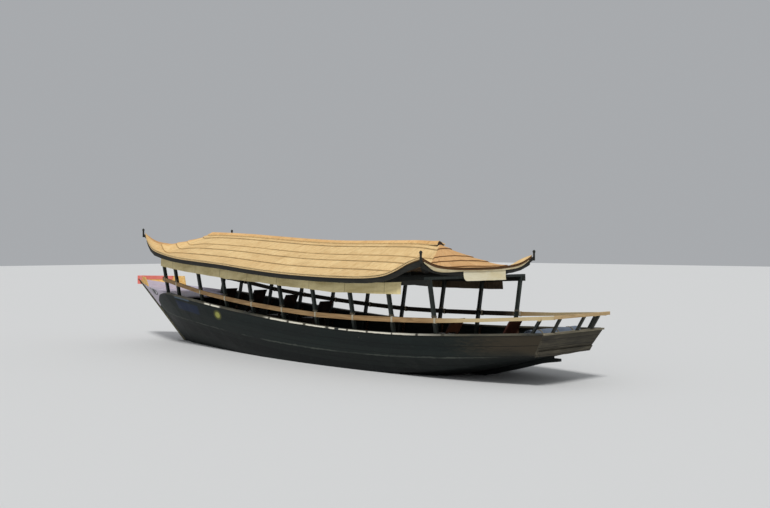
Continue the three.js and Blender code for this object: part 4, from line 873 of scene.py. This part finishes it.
def makeEaveBoard():
    look, shape = eaveBoard, newShape()
    tip = roofRows[0]
    x, reach, endShare = look["x"], look["reach"], look["endShare"]
    share = (x - tip[3]) / (tip[0] - tip[3])
    fore, aft = [], []
    for across in [value for value in endStations() if abs(value) <= reach]:
        lift = -roofSet["thickness"] - look["gap"]
        _, y, z = endPoint(tip, roofSet["sternMiddle"], across, share, lift)
        wide = kept((abs(across) - look["widenFrom"]) / look["widenRun"])
        end = kept((reach - abs(across)) / look["endRun"])
        corner = look["port" if across < 0 else "starboard"]
        drop = mix(look["middle"], corner, wide * wide * (3 - 2 * wide)) * mix(endShare, 1, end)
        fore.append([(x, y, z), (x, y, z - drop)])
        aft.append([(x + look["thickness"], y, z), (x + look["thickness"], y, z - drop)])
    addSlab(shape, aft, fore, kinds=(0, 0, 0))
    makePiece("sternEaveBoard", shape, ("cream",), smooth=False)


makeEaveBoard()


# Canvas valances, tacked along the eave plates

def foldsAt(x, down, seed, waves):  # each wave is (folds per metre, change down the cloth, seed, share)
    return sum(share * ripple(x * pitch, down * drift, seed + shift) for pitch, drift, shift, share in waves)


valanceSet = {
    "drop": 0.022, "flare": 0.008, "wave": 0.017, "pleat": 0.0042, "pitch": 0.074, "thickness": 0.004,
    "step": 0.0155, "rows": 9, "plate": 0.055, "gap": 0.0006, "off": 0.001, "sway": 0.008, "slack": 0.02,
    "twist": 0.012, "hem": 0.0015, "flat": (8.1, 0.18), "folds": ((5.3, 0.7, 0, 1), (13.0, 1.1, 4, 0.6)),
    "footWave": 3.1, "slackWave": 2.3, "slackSeed": 9, "twistWave": 6, "still": 0.2, "crest": 0.9,
    "pleatFade": 0.6,
}
valanceFoot = ((4.02, 1.443), (3.57, 1.435), (2.27, 1.427), (1.63, 1.462), (0.84, 1.496), (0.06, 1.545),
               (-0.37, 1.556), (-1.11, 1.588), (-1.89, 1.642), (-2.85, 1.706), (-3.85, 1.800), (-3.92, 1.807))


def plateLine():
    return [(x, postCentre(x, z) + postSet["size"] / 2 + valanceSet["plate"] + valanceSet["gap"])
            for x, z in zip(postXs, plateTops)]


def makeValance(sideName, side, seed):
    shape = newShape()
    look, outs, tops = valanceSet, plateLine(), list(zip(postXs, plateTops))
    count = round((valanceFoot[0][0] - valanceFoot[-1][0]) / look["step"])
    near, far = [], []
    for i in range(count + 1):
        x = mix(valanceFoot[0][0], valanceFoot[-1][0], i / count)
        high = lineAt(tops, x) - look["drop"]
        foot = lineAt(valanceFoot, x) + ripple(x * look["footWave"], seed) * look["sway"]
        base = lineAt(outs, x) + look["off"]
        slack = ripple(x * look["slackWave"], seed + look["slackSeed"])
        inner, outer = [], []
        for j in range(look["rows"] + 1):
            v = j / look["rows"]
            fold = foldsAt(x, v, seed, look["folds"])
            place = x + look["slack"] * slack + look["twist"] * v * ripple(x * look["twistWave"], seed)
            pleat = 1 + math.sin(2 * math.pi * place / look["pitch"])
            pleat = look["pleat"] * (1 - look["pleatFade"] * v) * pleat
            wave = look["wave"] * mix(look["still"], 1, v) * (fold + look["crest"])
            out = base + v * look["flare"] + pleat + wave
            hem = look["hem"] if j >= look["rows"] - 1 else 0.0
            z = mix(high, foot, v)
            inner.append((x, side * out, z))
            outer.append((x, side * (out + look["thickness"] + hem), z))
        near.append(inner)
        far.append(outer)
    addSlab(shape, far, near, kinds=(0, 0, 0))
    # the starboard valance takes the canvas copy with painted shade
    cloth = "canvas" if side < 0 else "shadedCanvas"
    piece = makePiece("valance" + sideName, shape, (cloth,))
    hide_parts("Valance" + sideName)


makeValance("Port", -1, 21)
makeValance("Starboard", 1, 27)


# Blind under the stern eave, with one lower corner blown up

blindSet = {
    "x": 4.5904, "from": -0.420, "to": 0.755, "foot": 1.655, "thickness": 0.004, "columns": 48, "rows": 12,
    "gap": 0.002, "off": 0.001, "curlRun": 0.10, "curl": 0.040, "sway": 0.004, "looseFrom": 0.45,
    "stand": 0.008, "fold": 0.006, "blow": 0.012, "flat": (1.18, 0.19),
    "folds": ((7, 1.6, 8, 1), (15, 1, 2, 0.6)), "footWave": 4, "footSeed": 3.3, "still": 0.15,
}


def makeBlind():
    shape = newShape()
    look = blindSet
    near, far = [], []
    corner = roofRows[0]
    share = (look["x"] - corner[3]) / (corner[0] - corner[3])
    for i in range(look["columns"] + 1):
        y = mix(look["from"], look["to"], i / look["columns"])
        across = y / corner[1] / share
        high = endPoint(corner, roofSet["sternMiddle"], across, share, -roofSet["thickness"] - look["gap"])[2]
        curl = max(0.0, 1 - (y - look["from"]) / look["curlRun"]) ** 2
        foot = look["foot"] + look["curl"] * curl
        foot += look["sway"] * ripple(y * look["footWave"], look["footSeed"])
        inner, outer = [], []
        for j in range(look["rows"] + 1):
            v = j / look["rows"]
            z = mix(high, foot, v)
            loose = max(0.0, (v - look["looseFrom"]) / (1 - look["looseFrom"]))
            fold = foldsAt(y, v, 0, look["folds"])
            out = look["stand"] + look["fold"] * fold + look["blow"] * curl * loose
            x = look["x"] + look["off"] + mix(look["still"], 1, loose) * out
            inner.append((x, y, z))
            outer.append((x + look["thickness"], y, z))
        near.append(inner)
        far.append(outer)
    addSlab(shape, far, near, kinds=(0, 0, 0))
    piece = makePiece("sternBlind", shape, ("blind",))
    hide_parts("SternBlind")


makeBlind()
print("valances and blind made")


# Awning rolled on its pole on the aft deck

rollSet = {
    "x": 6.18, "z": 0.7903, "radius": 0.130, "inner": 0.030, "rim": 0.004, "turns": 9, "steps": 26,
    "rows": 32, "start": 0.6, "half": 0.655, "thickness": 0.003, "ragged": 0.010, "uneven": 0.0025,
    "sag": 0.985, "pole": 0.022, "poleHalf": 0.735, "poleTip": 0.012, "poleSides": 14,
    "ties": (-0.42, 0.02, 0.44), "tie": 0.005, "tieStep": 0.007, "tieSteps": 28, "pinch": 0.10,
    "pinchRun": 0.07, "ragWave": 1.7, "ragSeed": 5.0, "unevenWave": (5, 2.3, 2), "evenTurns": 3,
}


def rollRadius(turn, y):
    wide = mix(rollSet["inner"], rollSet["radius"] - rollSet["rim"], turn / rollSet["turns"])
    pinch = sum(math.exp(-((y - tie) / rollSet["pinchRun"]) ** 2) for tie in rollSet["ties"])
    return wide * (1 - rollSet["pinch"] * pinch * (turn / rollSet["turns"]) ** 2)


def makeRoll():
    shape = newShape()
    look, half, rows = rollSet, rollSet["half"], rollSet["rows"]
    across, around, seed = look["unevenWave"]
    inner, outer = [], []
    for i in range(look["turns"] * look["steps"] + 1):
        turn = i / look["steps"]
        angle = 2 * math.pi * turn - look["start"]
        low, high = [], []
        for j in range(rows + 1):
            y = mix(-half, half, j / rows)
            if j in (0, rows):
                y += look["ragged"] * ripple(turn * look["ragWave"], look["ragSeed"])
            uneven = look["uneven"] * ripple(y * across, turn * around, seed)
            wide = rollRadius(turn, y) + uneven * min(1.0, turn / look["evenTurns"])
            sag = look["sag"] if math.sin(angle) < 0 else 1.0
            for line, extra in ((low, 0.0), (high, look["thickness"])):
                x = look["x"] + (wide + extra) * math.cos(angle)
                z = look["z"] + (wide + extra) * math.sin(angle) * sag
                line.append((x, y, z))
        inner.append(low)
        outer.append(high)
    addSlab(shape, outer, inner, kinds=(0, 0, 0))
    piece = makePiece("awningRoll", shape, ("awning",))
    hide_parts("AwningRoll")
    pole = newShape()
    long, tip = look["poleHalf"], look["poleTip"]
    ends = [(-long, tip), (-long + tip, look["pole"]), (long - tip, look["pole"]), (long, tip)]
    addTube(pole, [(look["x"], y, look["z"]) for y, _ in ends], [wide for _, wide in ends], look["poleSides"])
    makePiece("awningPole", pole, ("rail",))
    ties = newShape()
    for tie in look["ties"]:
        for shift in (-look["tieStep"], look["tieStep"]):
            wide = rollRadius(look["turns"], tie) + look["tieStep"]
            turns = [2 * math.pi * k / look["tieSteps"] for k in range(look["tieSteps"])]
            path = [(look["x"] + wide * math.cos(turn), tie + shift, look["z"] + wide * math.sin(turn))
                    for turn in turns]
            addTube(ties, path, look["tie"], 6, closed=True)
    makePiece("awningTies", ties, ("dullCord",))


makeRoll()
print("awning roll made")


# White cord lashings, round each pole and post

railPath = ((6.76, 1.140), (6.0, 1.090), (5.4, 1.050), (4.6, 1.012), (3.6, 0.985), (2.6, 0.970), (1.6, 0.975),
            (0.6, 1.020), (-0.4, 1.080), (-1.4, 1.160), (-2.4, 1.260), (-3.1, 1.360), (-3.88, 1.470),
            (-4.17, 1.505))
railHeights = ((7.0, 0.058), (5.5, 0.058), (4.3, 0.085), (-5.0, 0.085))
lashing = {
    "cord": 0.0045, "sides": 6, "turns": 4, "postTurns": 3, "pitch": 0.0105, "beside": 0.040, "above": 0.016,
    "width": 0.032, "gap": -0.0015, "corner": 0.009, "middle": 0.0425,
}


def railFace(x):  # level, half height and inner face of the side rail
    z = lineAt(railPath, x)
    inner = postCentre(x, z + lashing["middle"]) + postSet["size"] / 2 + lashing["gap"]
    return z, lineAt(railHeights, x) / 2, inner


def boxLoop(low, high, corner, steps=4):  # a rounded oblong of (across, up) points
    loop = []
    centres = ((high[0] - corner, high[1] - corner, 0), (low[0] + corner, high[1] - corner, 90),
               (low[0] + corner, low[1] + corner, 180), (high[0] - corner, low[1] + corner, 270))
    for across, up, turn in centres:
        for k in range(steps + 1):
            angle = math.radians(turn + 90 * k / steps)
            loop.append((across + corner * math.cos(angle), up + corner * math.sin(angle)))
    return loop


def makeLashings():
    cord, corner, sides = lashing["cord"], lashing["corner"], lashing["sides"]
    for sideName, side in (("Port", -1), ("Starboard", 1)):
        shape = newShape()
        for postX in postXs:
            for turn in range(lashing["turns"]):
                x = postX + lashing["beside"] + turn * lashing["pitch"]
                z, half, inner = railFace(x)
                outer = inner + lashing["width"]
                loop = boxLoop((inner - cord, z - half - cord), (outer + cord, z + half + cord), corner)
                addTube(shape, [(x, side * y, up) for y, up in loop], cord, sides, closed=True)
            z, half, _ = railFace(postX)
            for turn in range(lashing["postTurns"]):
                up = z + half + lashing["above"] + turn * lashing["pitch"]
                centre = postCentre(postX, up)
                reach = postSet["size"] / 2 + cord
                loop = boxLoop((postX - reach, centre - reach), (postX + reach, centre + reach), corner)
                addTube(shape, [(x, side * y, up) for x, y in loop], cord, sides, closed=True, kind=1)
        makePiece("lashings" + sideName, shape, ("cord", "dullCord"))


makeLashings()
print("lashings made")


# Finishes and softened edges of the pieces that keep their solids

keptNodes = (  # node, finish, width of the worn edge in metres
    ("BottomPlanking", "hull", 0.0), ("KeelAndHeel", "hull", 0.004), ("StemBoard", "stem", 0.005),
    ("Transom", "transom", 0.005), ("TransomCap", "transomCap", 0.004), ("StemHead", "red", 0.006),
    ("FloorBoards", "boards", 0.0), ("ForeDeck", "lilac", 0.0), ("AftDeck", "aftBoards", 0.0),
    ("RibsAndBearers", "rib", 0.0), ("EaveFrame", "plate", 0.0), ("SternRail", "sternRail", 0.005),
    ("Engine", "iron", 0.006), ("ShaftBracket", "iron", 0.003), ("Propeller", "bronze", 0.003),
    ("HelmSeat", "varnish", 0.004),
)
sidedNodes = (
    ("BilgePlanking", "hull", 0.0), ("SideStrake", "strake", 0.0), ("GunwaleCap", "gunwale", 0.005),
    ("ProwCheek", "cheek", 0.004), ("ProwCheekCap", "red", 0.006), ("SternPole", "rail", 0.006),
    ("EavePlate", "plate", 0.0),
)
edgeSet = {"segments": 2, "angle": 35, "wide": 0.006, "narrow": 0.004}


def dressNode(name, finish, edge):
    piece = nodes[name]
    piece.data.materials.clear()
    piece.data.materials.append(finishes[finish])
    if edge:
        bevel = piece.modifiers.new("wornEdge", "BEVEL")
        bevel.width = edge
        bevel.segments = edgeSet["segments"]
        bevel.limit_method = "ANGLE"
        bevel.angle_limit = math.radians(edgeSet["angle"])


def dressNodes():
    for name, finish, edge in keptNodes:
        dressNode(name, finish, edge)
    # the starboard poles take the copy of the pole wood with painted shade
    for sideName, poleFinish in (("Port", "rail"), ("Starboard", "shadedRail")):
        for name, finish, edge in sidedNodes:
            dressNode(name + sideName, finish, edge)
        for name in ("AftPole", "MiddlePole", "ForePole"):
            dressNode(name + sideName, poleFinish, edgeSet["wide"])
    for number in range(1, len(postXs) + 1):
        dressNode("PostFrame%d" % number, "frame", edgeSet["narrow"])
    for number in range(1, 6):
        dressNode("Chair%d" % number, "varnish" if number == 1 else "darkVarnish", edgeSet["narrow"])


dressNodes()
print("frame pieces dressed")


# Floor and light

studio = {
    "floor": 90, "floorColor": (0.74, 0.74, 0.73, 1), "floorRoughness": 0.9, "sky": (0.93, 0.96, 1.0, 1),
    "skyStrength": 0.42, "sunStrength": 1.9, "sunSize": 12, "sunWay": (-0.45, 0.55, -1),
}


def makeStudio():
    bpy.ops.mesh.primitive_plane_add(size=studio["floor"] * 2, location=(0, 0, 0))
    floor = bpy.context.object
    floor.name = "studioFloor"
    material = bpy.data.materials.new("floorPaint")
    material.use_nodes = True
    shader = material.node_tree.nodes["Principled BSDF"]
    shader.inputs["Base Color"].default_value = studio["floorColor"]
    shader.inputs["Roughness"].default_value = studio["floorRoughness"]
    floor.data.materials.append(material)
    bpy.context.scene.view_settings.view_transform = "Standard"  # Blender's default greys the colors
    world = bpy.data.worlds.new("studioSky")
    bpy.context.scene.world = world
    world.use_nodes = True
    background = world.node_tree.nodes["Background"]
    background.inputs["Color"].default_value = studio["sky"]
    background.inputs["Strength"].default_value = studio["skyStrength"]
    sun = bpy.data.lights.new("softSun", "SUN")
    sun.energy = studio["sunStrength"]
    sun.angle = math.radians(studio["sunSize"])
    sunObject = bpy.data.objects.new("softSun", sun)
    bpy.context.scene.collection.objects.link(sunObject)
    sunObject.rotation_euler = Vector(studio["sunWay"]).to_track_quat("-Z", "Y").to_euler()


makeStudio()
print("camera and studio made")
